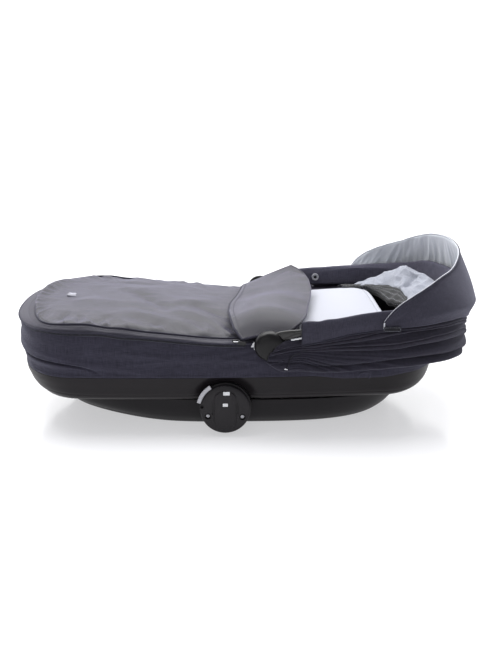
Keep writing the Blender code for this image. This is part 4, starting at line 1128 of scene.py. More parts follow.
FLAP_FREE = table([(-0.210, -0.0090), (-0.207, -0.0146), (-0.197, -0.0208), (-0.180, -0.0285), (-0.140, -0.0345), (-0.090, -0.0375),
                   (-0.030, -0.0345), (0.000, -0.0290), (0.040, -0.0200), (0.090, -0.0120), (0.130, -0.0080), (0.160, -0.0010),
                   (0.172, 0.0080)])
FLAP_FOLD = table([(-0.210, 0.0480), (-0.207, 0.0520), (-0.203, 0.0600), (-0.195, 0.0737), (-0.180, 0.0870), (-0.140, 0.0985),
                   (-0.083, 0.1060), (-0.020, 0.1165), (0.030, 0.1215), (0.080, 0.1210), (0.120, 0.1150), (0.150, 0.1050),
                   (0.172, 0.0935)])
FLAP_HIGH = table([(-0.210, 0.1750), (-0.203, 0.1815), (-0.196, 0.1885), (-0.186, 0.1945), (-0.172, 0.1985), (-0.140, 0.1998), (-0.083, 0.2000),
                   (0.000, 0.2050), (0.060, 0.2110), (0.120, 0.2175), (0.172, 0.2235)])


def flap_top(u, y):
    ye = y - 0.0040 * smoothstep(-0.150, -0.202, y)
    free, fold, height = FLAP_FREE(ye), FLAP_FOLD(ye), FLAP_HIGH(ye)
    x = free + (fold - free) * u
    sag = 0.0055 * smoothstep(-0.180, -0.207, y)
    zf = apron_z(min(free, APRON_END), y) + 0.0066 - sag + 0.0060 * math.exp(-((y + 0.135) / 0.045) ** 2)
    z = max(apron_z(min(x, APRON_END), y) + 0.0064 - sag, zf + (height - zf) * max(0.0, u) ** 0.9)
    # the near part fills out before it rolls down over the wall
    z += 0.0055 * math.exp(-((y + 0.158) / 0.026) ** 2) * sin(pi * min(1.0, max(0.0, u))) ** 0.7
    # and rolls over gently towards its fold
    roll = smoothstep(0.04, -0.08, y) * max(0.0, 1 - max(0.0, (-y - 0.085) / 0.124) ** 2.4)
    z += 0.0175 * roll * smoothstep(0.0, 0.42, u) * max(0.0, 1 - max(0.0, (u - 0.36) / 0.64) ** 2.0)
    return x, z


FU, FV = 72, 132
upper, lower = [], []
for i in range(FU + 1):
    u = i / FU
    ru, rl = [], []
    for j in range(FV + 1):
        q = 2 * j / FV - 1
        y = -0.0150 + 0.1870 * sin(pi / 2 * q * 0.99)
        x, z = flap_top(u, y)
        t = y / 0.187
        # stiffened cloth: slow waves, small ripples at the fold and along the sides
        w = 0.0022 * n3(x * 9, y * 9, 0, 1.0, 31.0) * smoothstep(0, 0.25, u)
        w += 0.0013 * n3(x * 24, y * 24, 0, 1.0, 5.0) * smoothstep(0.0, 0.15, u)
        w += 0.0005 * n3(y, 0, 0, 40, 14.0) * smoothstep(0.72, 1.0, u)
        w += 0.0030 * math.exp(-(((x - 0.045) + 0.35 * (y - 0.02)) / 0.030) ** 2) * smoothstep(-0.9, -0.2, t) * (1 - smoothstep(0.3, 0.9, t))
        x += 0.0006 * n3(y, 0, 0, 30, 3.0) * smoothstep(0.85, 1.0, u)
        ru.append((x, y, z + w + 0.0010))
        rl.append((x, y, z + w * 0.8 - 0.0026))
    upper.append(ru)
    lower.append(rl)
flap = grid("flap_cloth", upper, [M["apron"]])
for l in flap.data.loops:
    p = flap.data.vertices[l.vertex_index].co
    flap.data.uv_layers[0].data[l.index].uv = (p.x, p.y)
if sum(q.normal.z for q in flap.data.polygons) < 0:
    flap.data.flip_normals()
solidify(flap, 0.0034, offset=-1)
bevel(flap, 0.0012, 3, 50)
straps(flap, "apron_flap", "apron_fabric", "apron_flap")
edge = [upper[FU][0]] + [upper[i][0] for i in range(FU - 1, 0, -1)] + upper[0] + [upper[i][FV] for i in range(1, FU)] + [upper[FU][FV]]
edge = resample([(x, y, z - 0.0016) for x, y, z in edge], 420, closed=False)
cx0, cy0 = 0.05, 0.0
edge = [(x + (x - cx0) * 0.006, y + (y - cy0) * 0.006, z) for x, y, z in edge]
fp = tube("flap_piping", edge, 0.0021, M["piping"], seg=12)
straps(fp, "apron_flap", "apron_fabric")
# topstitching inside the piped edge
inner = [upper[FU - 2][3]] + [upper[i][3] for i in range(FU - 4, 4, -1)] + [upper[4][j] for j in range(3, FV - 2)] + \
        [upper[i][FV - 3] for i in range(5, FU - 2)]
fs = stitch_line("flap_stitches", [(x, y, z + 0.0003) for x, y, z in inner], M["piping"], r=0.00034)
straps(fs, "apron_flap", "apron_fabric")
# the fold itself: the cloth turns under and runs on into the apron
rows = []
for k in range(11):
    a = pi * k / 10
    row = []
    for j in range(4, FV - 3):
        x, y, z = upper[FU][j]
        row.append((x - 0.0010 + 0.0030 * sin(a), y, z - 0.0022 + 0.0026 * cos(a)))
    rows.append(row)
for k in range(1, 13):
    t = k / 12
    row = []
    for j in range(4, FV - 3):
        x, y, z = upper[FU][j]
        xe = min(0.080, x - 0.030)
        ze = apron_z(xe, y) + 0.0010
        za = z - 0.0048
        row.append((lerp(x, xe, t), y, lerp(za, ze, smoothstep(0, 1, t)) - 0.002 * sin(pi * t)))
    rows.append(row)
turn = grid("flap_fold_strip", rows, [M["apron"]])
solidify(turn, 0.0010, offset=0)
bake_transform(turn)
# snap loop on the fold
x, y, z = upper[FU][int(FV * 0.62)]
tab = []
for k in range(15):
    a = -pi / 2 + pi * k / 14
    tab.append((x + 0.0015 + 0.006 * cos(a), y + 0.0045 * sin(a) * 1.3, z - 0.003 - 0.0015 * cos(a)))
loop_t = tube("flap_snap_loop", tab, 0.0017, M["webbing"], seg=8, flat=0.45)
straps(loop_t, "apron_flap", "apron_fabric")

# ---- zip sliders with their pulls ------------------------------------------
for tag, s in (("left", -1), ("right", 1)):
    z0 = wall_top(-0.026) + (0.0062 if s < 0 else 0.0)
    lo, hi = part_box(f"{tag}_zip_slider")
    body = []
    n = 14
    verts, faces = [], []
    xs = [-0.0330, -0.0318, -0.0290, -0.0265, -0.0240, -0.0215, -0.0200]
    ws = [0.0016, 0.0030, 0.0040, 0.0036, 0.0034, 0.0028, 0.0014]
    for x, w in zip(xs, ws):
        for k in range(n):
            a = 2 * pi * k / n
            verts.append((x, s * (0.2082 + 0.0020 * sin(a) * (0.6 + 0.4 * (w / 0.004))), z0 + w * cos(a)))
    for q in range(len(xs) - 1):
        for k in range(n):
            a, b2 = q * n + k, q * n + (k + 1) % n
            faces.append((a, b2, b2 + n, a + n))
    faces += [tuple(range(n)), tuple(range((len(xs) - 1) * n, len(xs) * n))]
    sl = obj_from(f"{tag}_slider_body", verts, faces, [M["black"]])
    bm = bmesh.new(); bm.from_mesh(sl.data); bmesh.ops.recalc_face_normals(bm, faces=bm.faces); bm.to_mesh(sl.data); bm.free()
    subdiv(sl, 1)
    straps(sl, f"{tag}_zip_slider", "zip_metal", f"{tag}_zip_slider")
    bridge = tube(f"{tag}_slider_bridge", [(-0.0310 + 0.0100 * k / 12, s * (0.2098 + 0.0020 * sin(pi * k / 12)), z0) for k in range(13)],
                  0.0009, M["chrome"], seg=8)
    straps(bridge, f"{tag}_zip_slider", "zip_metal")
    # pull tab hanging forward from the bridge
    outl = round_rect(0.0015, -0.0022, 0.0165, 0.0062, 0.0024)
    pull = prism(f"{tag}_slider_pull", [(-0.0180 + x, z0 - 0.0004 + z - 0.10 * x) for x, z in outl], 0.2104, 0.2116, M["black"], s, bev=0.0004)
    straps(pull, f"{tag}_zip_slider", "zip_metal")
# ---- hood -----------------------------------------------------------------
def polyline(points):
    def f(x):
        if x <= points[0][0]:
            return points[0][1]
        for (xa, za), (xb, zb) in zip(points, points[1:]):
            if x <= xb:
                t = (x - xa) / (xb - xa)
                return za + (zb - za) * t * t * (3 - 2 * t) * 0.4 + (zb - za) * t * 0.6
        return points[-1][1]
    return f


def smooth_line(points, r=0.012):
    """The same stations, averaged over a short length so that no kink shows."""
    f = polyline(points)
    def g(x):
        return sum(f(x + r * k / 4) * w for k, w in zip(range(-4, 5), (1, 2, 3, 4, 5, 4, 3, 2, 1))) / 25
    return g


BAND_LOW = smooth_line([(0.030, 0.1585), (0.050, 0.1600), (0.075, 0.1650), (0.090, 0.1684), (0.109, 0.1712), (0.140, 0.1797),
                        (0.173, 0.1872), (0.218, 0.1933), (0.259, 0.1960), (0.294, 0.1978), (0.331, 0.1976), (0.374, 0.1945),
                        (0.393, 0.1880), (0.412, 0.1715)])
SEAM_MID = smooth_line([(0.025, 0.1510), (0.037, 0.1550), (0.050, 0.1575), (0.075, 0.1590), (0.102, 0.1596), (0.140, 0.1655), (0.183, 0.1702), (0.221, 0.1761),
                        (0.245, 0.1825), (0.284, 0.1872), (0.324, 0.1873), (0.365, 0.1839), (0.393, 0.1740), (0.412, 0.1545)])
SEAM_LOW = smooth_line([(0.025, 0.1465), (0.037, 0.1500), (0.050, 0.1535), (0.073, 0.1552), (0.095, 0.1536), (0.133, 0.1550), (0.198, 0.1553),
                        (0.256, 0.1565), (0.296, 0.1612), (0.354, 0.1609), (0.379, 0.1580), (0.398, 0.1500), (0.412, 0.1335)])
PANEL_LOW = smooth_line([(0.025, 0.1405), (0.036, 0.1320), (0.048, 0.1240), (0.058, 0.1205), (0.078, 0.1195), (0.115, 0.1174), (0.163, 0.1175),
                         (0.207, 0.1209), (0.248, 0.1231), (0.298, 0.1251), (0.326, 0.1247), (0.364, 0.1222), (0.385, 0.1185),
                         (0.400, 0.1110), (0.412, 0.0965)])
SEAM_TOP = smooth_line([(0.025, 0.1560), (0.037, 0.1615), (0.050, 0.1695), (0.060, 0.1728), (0.080, 0.1738), (0.092, 0.1730),
                        (0.109, 0.1722), (0.140, 0.1797), (0.173, 0.1872), (0.218, 0.1933), (0.259, 0.1960), (0.294, 0.1978),
                        (0.331, 0.1976), (0.374, 0.1945), (0.393, 0.1880), (0.412, 0.1715)])
CREASE_FRONT = smooth_line([(0.025, 0.1535), (0.037, 0.1580), (0.054, 0.1625), (0.078, 0.1645), (0.121, 0.1694), (0.173, 0.1777), (0.221, 0.1880),
                            (0.269, 0.1919), (0.321, 0.1922), (0.365, 0.1900), (0.393, 0.1815), (0.412, 0.1640)])
CREASE_MID = smooth_line([(0.025, 0.1488), (0.040, 0.1530), (0.060, 0.1562), (0.102, 0.1571), (0.140, 0.1615), (0.188, 0.1645), (0.234, 0.1656),
                          (0.282, 0.1718), (0.322, 0.1751), (0.370, 0.1731), (0.398, 0.1620), (0.412, 0.1450)])
CREASE_REAR = smooth_line([(0.025, 0.1435), (0.040, 0.1410), (0.052, 0.1390), (0.066, 0.1365), (0.095, 0.1328), (0.127, 0.1290), (0.180, 0.1313),
                           (0.223, 0.1360), (0.261, 0.1415), (0.284, 0.1412), (0.330, 0.1395), (0.380, 0.1330), (0.412, 0.1140)])
BOW_Z = smooth_line([(0.054, 0.1770), (0.083, 0.1880), (0.125, 0.1925), (0.172, 0.1995), (0.224, 0.2060), (0.290, 0.2082),
                     (0.331, 0.2094), (0.378, 0.2085), (0.400, 0.2070)], 0.006)
BAND_TOP = smooth_line([(0.088, 0.2030), (0.110, 0.2075), (0.150, 0.2125), (0.190, 0.2180), (0.240, 0.2210), (0.290, 0.2240),
                        (0.324, 0.2300), (0.370, 0.2410), (0.402, 0.2405)])
VISOR_TIP = 0.4262
VISOR_LOW = smooth_line([(0.225, 0.1965), (0.288, 0.1985), (0.331, 0.1995), (0.372, 0.1970), (0.402, 0.1880), (0.4262, 0.1745)])
VISOR_RIM = smooth_line([(0.225, 0.2040), (0.2345, 0.2205), (0.2486, 0.2330), (0.2618, 0.2415), (0.2869, 0.2530), (0.3106, 0.2620),
                         (0.3327, 0.2698), (0.3529, 0.2768), (0.3711, 0.2820), (0.3869, 0.2872), (0.4002, 0.2930), (0.4262, 0.3010)], 0.008)


def u_path(y_leg, x_tip, x_start, lh=0.17, n=2.1, ks=110, kh=150):
    """U round the head end in plan: near leg, tip, far leg."""
    near = [(x_start + (x_tip - lh - x_start) * i / ks, -y_leg) for i in range(ks)]
    for i in range(kh + 1):
        a = pi / 2 * (1 - i / kh)
        c = cos(a) ** (2 / n) if i else 0.0
        near.append((x_tip - lh * (1 - c), -y_leg * sin(a) ** (2 / n) if i < kh else 0.0))
    return near + [(x, -y) for x, y in near[:-1]][::-1]


UN = 520


def u_even(y_leg, x_tip, x_start, lh=0.17, n=2.1):
    return resample(u_path(y_leg, x_tip, x_start, lh, n), UN, closed=False)


class Shell2:
    """Rows of points between an inner and an outer U, with arc length and normals along it."""

    def __init__(self, y_in, tip_in, y_out, tip_out, x_start, lh=0.17):
        self.a, self.b = u_even(y_in, tip_in, x_start, lh), u_even(y_out, tip_out, x_start, lh)
        self.s = lengths(self.b)
        self.n = []
        for i in range(UN):
            (xa, ya), (xb, yb) = self.b[max(0, i - 1)], self.b[min(UN - 1, i + 1)]
            l = math.hypot(xb - xa, yb - ya)
            self.n.append(((yb - ya) / l, -(xb - xa) / l))

    def at(self, i, o):
        """Plan point: o is 0 on the inner U, 1 on the outer one."""
        (xa, ya), (xb, yb) = self.a[i], self.b[i]
        return lerp(xa, xb, o), lerp(ya, yb, o)


def fold_profile(v, sharp=1.0):
    """Share of the way out for a fold hanging over the one below: v is 1 at its top seam, 0 at its lower edge."""
    if v > 0.30:
        t = (1 - v) / 0.70
        return lerp(0.42, 1.0, sin(t * pi / 2) ** 0.75)
    t = v / 0.30
    return lerp(0.30, 1.0, sin(t * pi / 2) ** 0.6)


X0 = 0.0270
FAN = Shell2(0.2108, 0.3810, 0.2222, 0.4125, X0)


def leg_out(x):
    """The cloth is gathered close to the wall beside the hinge and stands out further along."""
    return 0.50 + 0.50 * smoothstep(0.05, 0.16, x)


def wrinkle(i, x, z, s, k, seed):
    """Tension lines that run along the cloth and converge towards the hinge."""
    r = max(0.06, x - 0.031)
    ang = (z - 0.157) / r
    side = 1.0 if FAN.a[i][1] < 0 else 2.7
    v = n3(ang * k, s * 5.0, 0, 1.0, seed * side)
    v2 = n3(ang * k * 2.3, s * 9.0, 0, 1.0, seed * side + 4)
    return ridged(v, 2.4) - 0.4 + 0.35 * v2


CORNER = smooth_line([(0.1300, 0.0270), (0.1407, 0.0262), (0.1506, 0.0285), (0.1610, 0.0369), (0.1705, 0.0497), (0.1743, 0.0592)], 0.004)


def corner_x(x, low, high, v):
    """Station after the fan's edge beside the boss is cut on a slant."""
    if x >= 0.09:
        return x
    xr = x
    for _ in range(3):
        xs = CORNER(lerp(low(xr), high(xr), v))
        xr = xs + (x - X0) * (0.09 - xs) / (0.09 - X0)
    return xr


def fold_rows(low, high, nrow, amp, k, seed, subs=1, drop=0.0, uneven=0.0, grooves=()):
    """Rows of one soft fold between two seam lines, with its wrinkles."""
    rows = []
    for j in range(nrow):
        v = 1 - j / (nrow - 1)
        row = []
        for i in range(UN):
            xo, yo = FAN.at(i, 1.0)
            s = FAN.s[i]
            x_plan, xo = xo, corner_x(xo, low, high, v)
            wob = uneven * n3(s, 0, 0, 17, seed)
            lo, hi = low(xo), high(xo)
            if subs == 1:
                o = fold_profile(v)
            else:
                cut_v = max(0.15, min(0.85, (CREASE_REAR(xo) + 0.0008 * n3(s, 0, 0, 9, seed + 2) - lo) / (hi - lo)))
                if v > cut_v:
                    o = fold_profile((v - cut_v) / (1 - cut_v))
                    o = max(o, 0.62)
                else:
                    o = fold_profile(v / cut_v) * 0.96
                    o = max(o, 0.5)
            z = lerp(lo, hi, v) - drop * sin(pi * v)
            d = amp * wrinkle(i, xo, z, s, k, seed) * sin(pi * min(1.0, 0.08 + v * 0.92)) ** 0.5
            for line, depth, width in grooves:
                q = (z - line(xo) - 0.0007 * n3(s, 0, 0, 24, seed + 9)) / width
                d -= depth * (0.55 + 0.45 * n3(s, 0, 0, 8, seed + 5)) * (math.exp(-q * q) - 0.35 * math.exp(-((q - 2.2) / 1.4) ** 2))
            o = 1 - (1 - o) * (1 - 0.72 * smoothstep(0.30, 0.395, xo))
            if subs == 2:
                o -= 0.24 * smoothstep(0.375, 0.412, xo) * smoothstep(0.55, 0.0, v)
            o = o * leg_out(xo)
            x, y = FAN.at(i, o)
            nx, ny = FAN.n[i]
            # the corner is drawn out over the boss
            x += xo - x_plan
            y += math.copysign(0.0150 * (1 - smoothstep(0.042, 0.088, xo)) * (0.9 + 0.1 * sin(pi * v)), y)
            z += wob * (0.3 + 0.7 * sin(pi * v))
            row.append((x + nx * d, y + ny * d, z))
        rows.append(row)
    return rows


# front fold, under the band and visor: rides with the bow
front = grid("hood_front_fold", fold_rows(SEAM_MID, lambda x: SEAM_TOP(x) + 0.003, 30, 0.0012, 26, 2.1, uneven=0.0008,
                                            grooves=[(CREASE_FRONT, 0.0040, 0.0013)]), [M["pleat"]])
solidify(front, 0.0009, even=False)
straps(front, "hood_bow", "navy_fabric", "hood_front_pleat")
mid = grid("hood_mid_fold", fold_rows(SEAM_LOW, lambda x: SEAM_MID(x) + 0.0035, 34, 0.0013, 24, 5.7, uneven=0.0008,
                                        grooves=[(CREASE_MID, 0.0042, 0.0014)]), [M["pleat"]])
solidify(mid, 0.0009, even=False)
straps(mid, "mid_rib", "navy_fabric", "hood_mid_pleat")

# rear panel: from the rear rib's seam down over the wall to its hem, then tucked in under
pr = fold_rows(PANEL_LOW, lambda x: SEAM_LOW(x) + 0.003, 60, 0.0019, 17, 9.4, subs=2, uneven=0.0010)
hem = pr[-1]
for k in range(1, 9):
    t = k / 8
    row = []
    for i in range(UN):
        x, y, z = hem[i]
        xi, yi = FAN.a[i]
        # inwards to the wall
        xt = min(xi, 0.352 if xi > 0.30 else xi)
        yt = yi
        wy = (half_width(min(xt, 0.33)) + 0.0035)
        yt = math.copysign(min(abs(yi), wy if xt < 0.28 else abs(yi) * (0.93 if xt > 0.3 else 0.97)), yi)
        row.append((lerp(x, xt, t * 0.9), lerp(y, yt, t * 0.9), z + 0.004 * t - 0.0018 * sin(pi * t)))
    pr.append(row)
panel = grid("hood_rear_cloth", pr, [M["panel"]])
solidify(panel, 0.0010, even=False)
L = 0.09
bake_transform(panel)
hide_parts("hood_rear_panel")


def stretch_cloth(name, y_leg, x_tip, deg0, deg1, seam_rows=5):
    """Cloth between two ribs, folded away inside at rest."""
    path = u_even(y_leg, x_tip, 0.085)
    mean = radians((deg0 + deg1) / 2)
    n = Vector((-sin(mean), 0, cos(mean)))
    half = 0.0024
    rows, vv = [], []
    total = 44
    for j in range(total + 2 * seam_rows + 1):
        row = []
        for i, (x, y) in enumerate(path):
            z0 = PIVOT.z + (x - PIVOT.x) * tan(mean)
            r = (x - PIVOT.x) / cos(mean)
            top, bot = r * tan(radians(deg1) - mean), r * tan(radians(deg0) - mean)
            top, bot = max(top, half * 1.3), min(bot, -half * 1.3)
            if j < seam_rows:
                d = lerp(bot, -half, j / seam_rows)
            elif j > total + seam_rows:
                d = lerp(half, top, (j - total - seam_rows) / seam_rows)
            else:
                d = lerp(-half, half, (j - seam_rows) / total)
            row.append((x + n.x * d, y, z0 + n.z * d + (0)))
        rows.append(row)
        vv.append(j)
    o = grid(name, rows, [M["hood"]])
    layer = o.data.uv_layers[0].data
    acc = lengths(path)
    for l in o.data.loops:
        j, i = divmod(l.vertex_index, UN)
        layer[l.index].uv = (acc[i], 0.20 * j / len(rows))
    solidify(o, 0.0008, 0, even=False)
    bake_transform(o)
    return o


stretch_cloth("hood_cloth_rear", 0.2084, 0.3755, -8.3, -4.3)
stretch_cloth("hood_cloth_front", 0.2102, 0.3770, -3.7, 0.6)
# ---- band (sleeve over the bow) --------------------------------------------
SL = Shell2(0.2165, 0.4000, 0.2165, 0.4000, 0.0865)


NEAR_TOP = table([(0.0865, 0.0030), (0.095, 0.0035), (0.106, 0.0010), (0.115, -0.0015), (0.135, -0.0008), (0.154, 0.0002),
                  (0.171, 0.0013), (0.2005, 0.0031), (0.253, 0.0047), (0.330, 0.0040)])


def sleeve_ring(i):
    x, y = SL.a[i]
    nx, ny = SL.n[i]
    s = SL.s[i]
    zc, top, low = BOW_Z(x), BAND_TOP(x), BAND_LOW(x) - 0.0015
    near = 1.0 if y < 0 else 0.0
    top += 0.0010 * n3(s, 0, 0, 22, 3.3) + 0.0016 * math.exp(-((x - 0.128) / 0.010) ** 2) * near
    low += 0.0008 * n3(s, 0, 0, 18, 6.3)
    leg = 1 - smoothstep(0.330, 0.390, x)
    far = 0.0022 + 0.0060 * smoothstep(0.110, 0.200, x) - 0.0020 * smoothstep(0.230, 0.300, x)
    top -= (far * (1 - near) - near * NEAR_TOP(x)) * leg
    inside = lerp(low, 0.1725, leg)
    ring = []
    def w(z, k, q):
        return (0.0010 * n3(s * 8, z * 60, 0, 1.0, q) + 0.0007 * n3(s * 30, z * 40, 0, 1.0, q + 3)) * k
    zo = [(0.0048, low), (0.0058, low + (zc - low) * 0.30), (0.0066, low + (zc - low) * 0.62), (0.0070, zc - 0.001),
          (0.0070, zc + 0.0025), (0.0064, lerp(zc, top, 0.45)), (0.0052, lerp(zc, top, 0.72)), (0.0042, lerp(zc, top, 0.92)),
          (0.0026, top + 0.0002), (0.0004, top + 0.0010), (-0.0020, top + 0.0006), (-0.0036, lerp(zc, top, 0.93)),
          (-0.0044, lerp(zc, top, 0.72)), (-0.0054, lerp(zc, top, 0.42)), (-0.0062, zc + 0.002), (-0.0062, zc - 0.002),
          (-0.0056, lerp(inside, zc, 0.6)), (-0.0050, lerp(inside, zc, 0.28)), (-0.0046, inside + 0.0004)]
    for k, (o, z) in enumerate(zo):
        m = o + w(z, 1.0 if 0 < k < 18 else 0.3, 12.0 if k < 10 else 40.0)
        ring.append((x + nx * m, y + ny * m, z))
    return ring


rings = [sleeve_ring(i) for i in range(UN)]
# smooth each ring's corner points into a finer profile
fine = []
for r in rings:
    pts = []
    for k in range(len(r) - 1):
        pts.append(r[k])
        pts.append(tuple((a + b2) / 2 for a, b2 in zip(r[k], r[k + 1])))
    pts.append(r[-1])
    for _ in range(1):
        pts = [pts[0]] + [tuple((a + 2 * b2 + c) / 4 for a, b2, c in zip(pts[k - 1], pts[k], pts[k + 1]))
                          for k in range(1, len(pts) - 1)] + [pts[-1]]
    fine.append(pts)
m = len(fine[0])
rows = [[fine[i][j] for i in range(UN)] for j in range(m)]
# painted light: rows past 19, the band's inner face, take the much lighter copy of the navy linen
sleeve = grid("hood_band", rows, [M["hood"], M["band_inner"]], row_mat=lambda j: 1 if j > 19 else 0)
solidify(sleeve, 0.0009)
straps(sleeve, "hood_bow", "navy_fabric", "bow_sleeve")
# hemmed ends of the band and the topstitching on its face
for tag, i0 in (("near", 0), ("far", UN - 1)):
    loop_pts = [tuple(p) for p in fine[i0]]
    o = tube(f"hood_band_hem_{tag}", loop_pts, 0.0011, M["piping"], seg=8, up=(1, 0, 0))
    straps(o, "hood_bow", "navy_fabric")
face = [Vector(fine[i][16]) + Vector((SL.n[i][0], SL.n[i][1], 0)) * 0.0003 for i in range(0, UN, 2)]
o = stitch_line("hood_band_stitches", [tuple(p) for p in face], M["piping"], r=0.00032)
straps(o, "hood_bow", "navy_fabric")
seam_pts = [tuple(Vector(fine[i][0]) + Vector((SL.n[i][0], SL.n[i][1], 0)) * 0.0006) for i in range(0, UN, 2)]
o = tube("hood_band_seam", seam_pts, 0.0011, M["piping"], seg=8)
straps(o, "hood_bow", "navy_fabric")

# ---- visor -----------------------------------------------------------------
VN = 420
v_plan = resample(u_path(0.2265, VISOR_TIP, 0.2255, lh=0.19), VN, closed=False)
v_arc = lengths(v_plan)
v_nrm = []
for i in range(VN):
    (xa, ya), (xb, yb) = v_plan[max(0, i - 1)], v_plan[min(VN - 1, i + 1)]
    l = math.hypot(xb - xa, yb - ya)
    v_nrm.append(((yb - ya) / l, -(xb - xa) / l))


def visor_point(i, v, off=0.0):
    x, y = v_plan[i]
    nx, ny = v_nrm[i]
    low = VISOR_LOW(x)
    h = max(0.003, VISOR_RIM(x) - low + 0.045 * y * smoothstep(0.33, 0.40, x))
    ahead = max(0.0, nx)
    # it leans inwards towards its rim and tucks in at its foot
    lean = 0.034 * ahead * max(0.0, (v - 0.25) / 0.75) ** 1.15 + 0.010 * ahead ** 2 * (1 - smoothstep(0.0, 0.28, v))
    lean -= 0.0022 * sin(pi * v) * smoothstep(0.24, 0.32, x)
    lean -= off
    return (x - nx * lean, y - ny * lean, low + h * v)


VR = 34
rows = []
for j in range(VR + 1):
    v = j / VR
    row = []
    for i in range(VN):
        s = v_arc[i]
        k = sin(pi * min(1, max(0, v))) * 0.0010
        w = k * (1.3 * n3(s * 7, v * 1.4, 0, 1.0, 5.0) + 0.5 * n3(s * 22, v * 4, 0, 1.0, 9.0))
        w += 0.0008 * ridged(n3(s * 5, v * 5.0, 0, 1.0, 15.0), 3.0) * (1 - v) * sin(pi * min(1, v * 3))
        row.append(visor_point(i, v, w + 0.0002))
    rows.append(row)
visor = grid("visor_outer", rows, [M["hood"]])
solidify(visor, 0.0012)
straps(visor, "visor", "navy_fabric", "visor_panel")
# lining inside, far lighter than the grey lining cloth as painted light, gathered into upright puckers
rows = []
for j in range(VR + 1):
    v = 0.02 + 0.975 * j / VR
    row = []
    for i in range(VN):
        s = v_arc[i]
        slant = s + 0.035 * v
        gather = n3(slant * 52, v * 1.1, 0, 1.0, 2.0)
        g2 = n3(slant * 110, v * 2.0, 0, 1.0, 7.0)
        body = max(0.0, sin(pi * min(1.0, v))) ** 0.6
        d = -0.0028 - body * (0.0018 + 0.0034 * (ridged(gather, 1.8) - 0.3) + 0.0014 * g2)
        row.append(visor_point(i, v, d))
    rows.append(row)
vl = grid("visor_lining_painted_light", rows, [M["visor_lining_painted_light"]], flip=True)
solidify(vl, 0.0007)
straps(vl, "visor", "lining_fabric")
rim = [visor_point(i, 1.0, -0.0006) for i in range(VN)]
edge_dark = tube("visor_rim_binding", [(x + v_nrm[i][0] * 0.0006, y + v_nrm[i][1] * 0.0006, z + 0.0004) for i, (x, y, z) in enumerate(rim)],
                 0.0018, M["piping"], seg=10)
straps(edge_dark, "visor", "navy_fabric")
wp = tube("visor_white_piping", [(x - v_nrm[i][0] * 0.0014, y - v_nrm[i][1] * 0.0014, z + 0.0011) for i, (x, y, z) in enumerate(rim)],
          0.0013, M["white_piping"], seg=10)
straps(wp, "visor", "lining_fabric")
# white piping turns down the free ends to the tabs
for tag, i0, s in (("near", 0, -1), ("far", VN - 1, 1)):
    p0 = [visor_point(i0, v / 12, 0.0) for v in range(13)]
    o = tube(f"visor_end_piping_{tag}", [(x - 0.0008, y + s * 0.0006, z) for x, y, z in p0], 0.0013, M["white_piping"], seg=8)
    straps(o, "visor", "lining_fabric")
    # webbing tab at the visor's root, box stitched
    zt = VISOR_LOW(0.232) - 0.0005
    verts, faces = [], []
    nl = 16
    for k in range(nl + 1):
        x = 0.2235 + 0.0300 * k / nl
        yb = 0.2280 + 0.0004 * sin(k * 1.3)
        for dz, dy in ((-0.0042, 0.0), (-0.0040, 0.0010), (0.0, 0.0013), (0.0040, 0.0010), (0.0042, 0.0)):
            verts.append((x, s * (yb + dy), zt + dz + 0.0006 * sin(k * 0.7)))
    for k in range(nl):
        for q in range(4):
            a = k * 5 + q
            faces.append((a, a + 1, a + 6, a + 5) if s > 0 else (a, a + 5, a + 6, a + 1))
    o = obj_from(f"visor_tab_{tag}", verts, faces, [M["webbing"]], [(v[0], v[2]) for v in verts])
    solidify(o, 0.0010)
    straps(o, "visor", "navy_fabric")
    box_pts = [(0.2250, zt - 0.003), (0.2520, zt - 0.003), (0.2520, zt + 0.003), (0.2250, zt + 0.003), (0.2250, zt - 0.003)]
    fine_box = resample([(x, s * 0.2296, z) for x, z in box_pts], 60, closed=False)
    o = stitch_line(f"visor_tab_stitches_{tag}", fine_box, M["grey_lining"], length=0.0022, gap=0.0010, r=0.00028)
    straps(o, "visor", "navy_fabric")
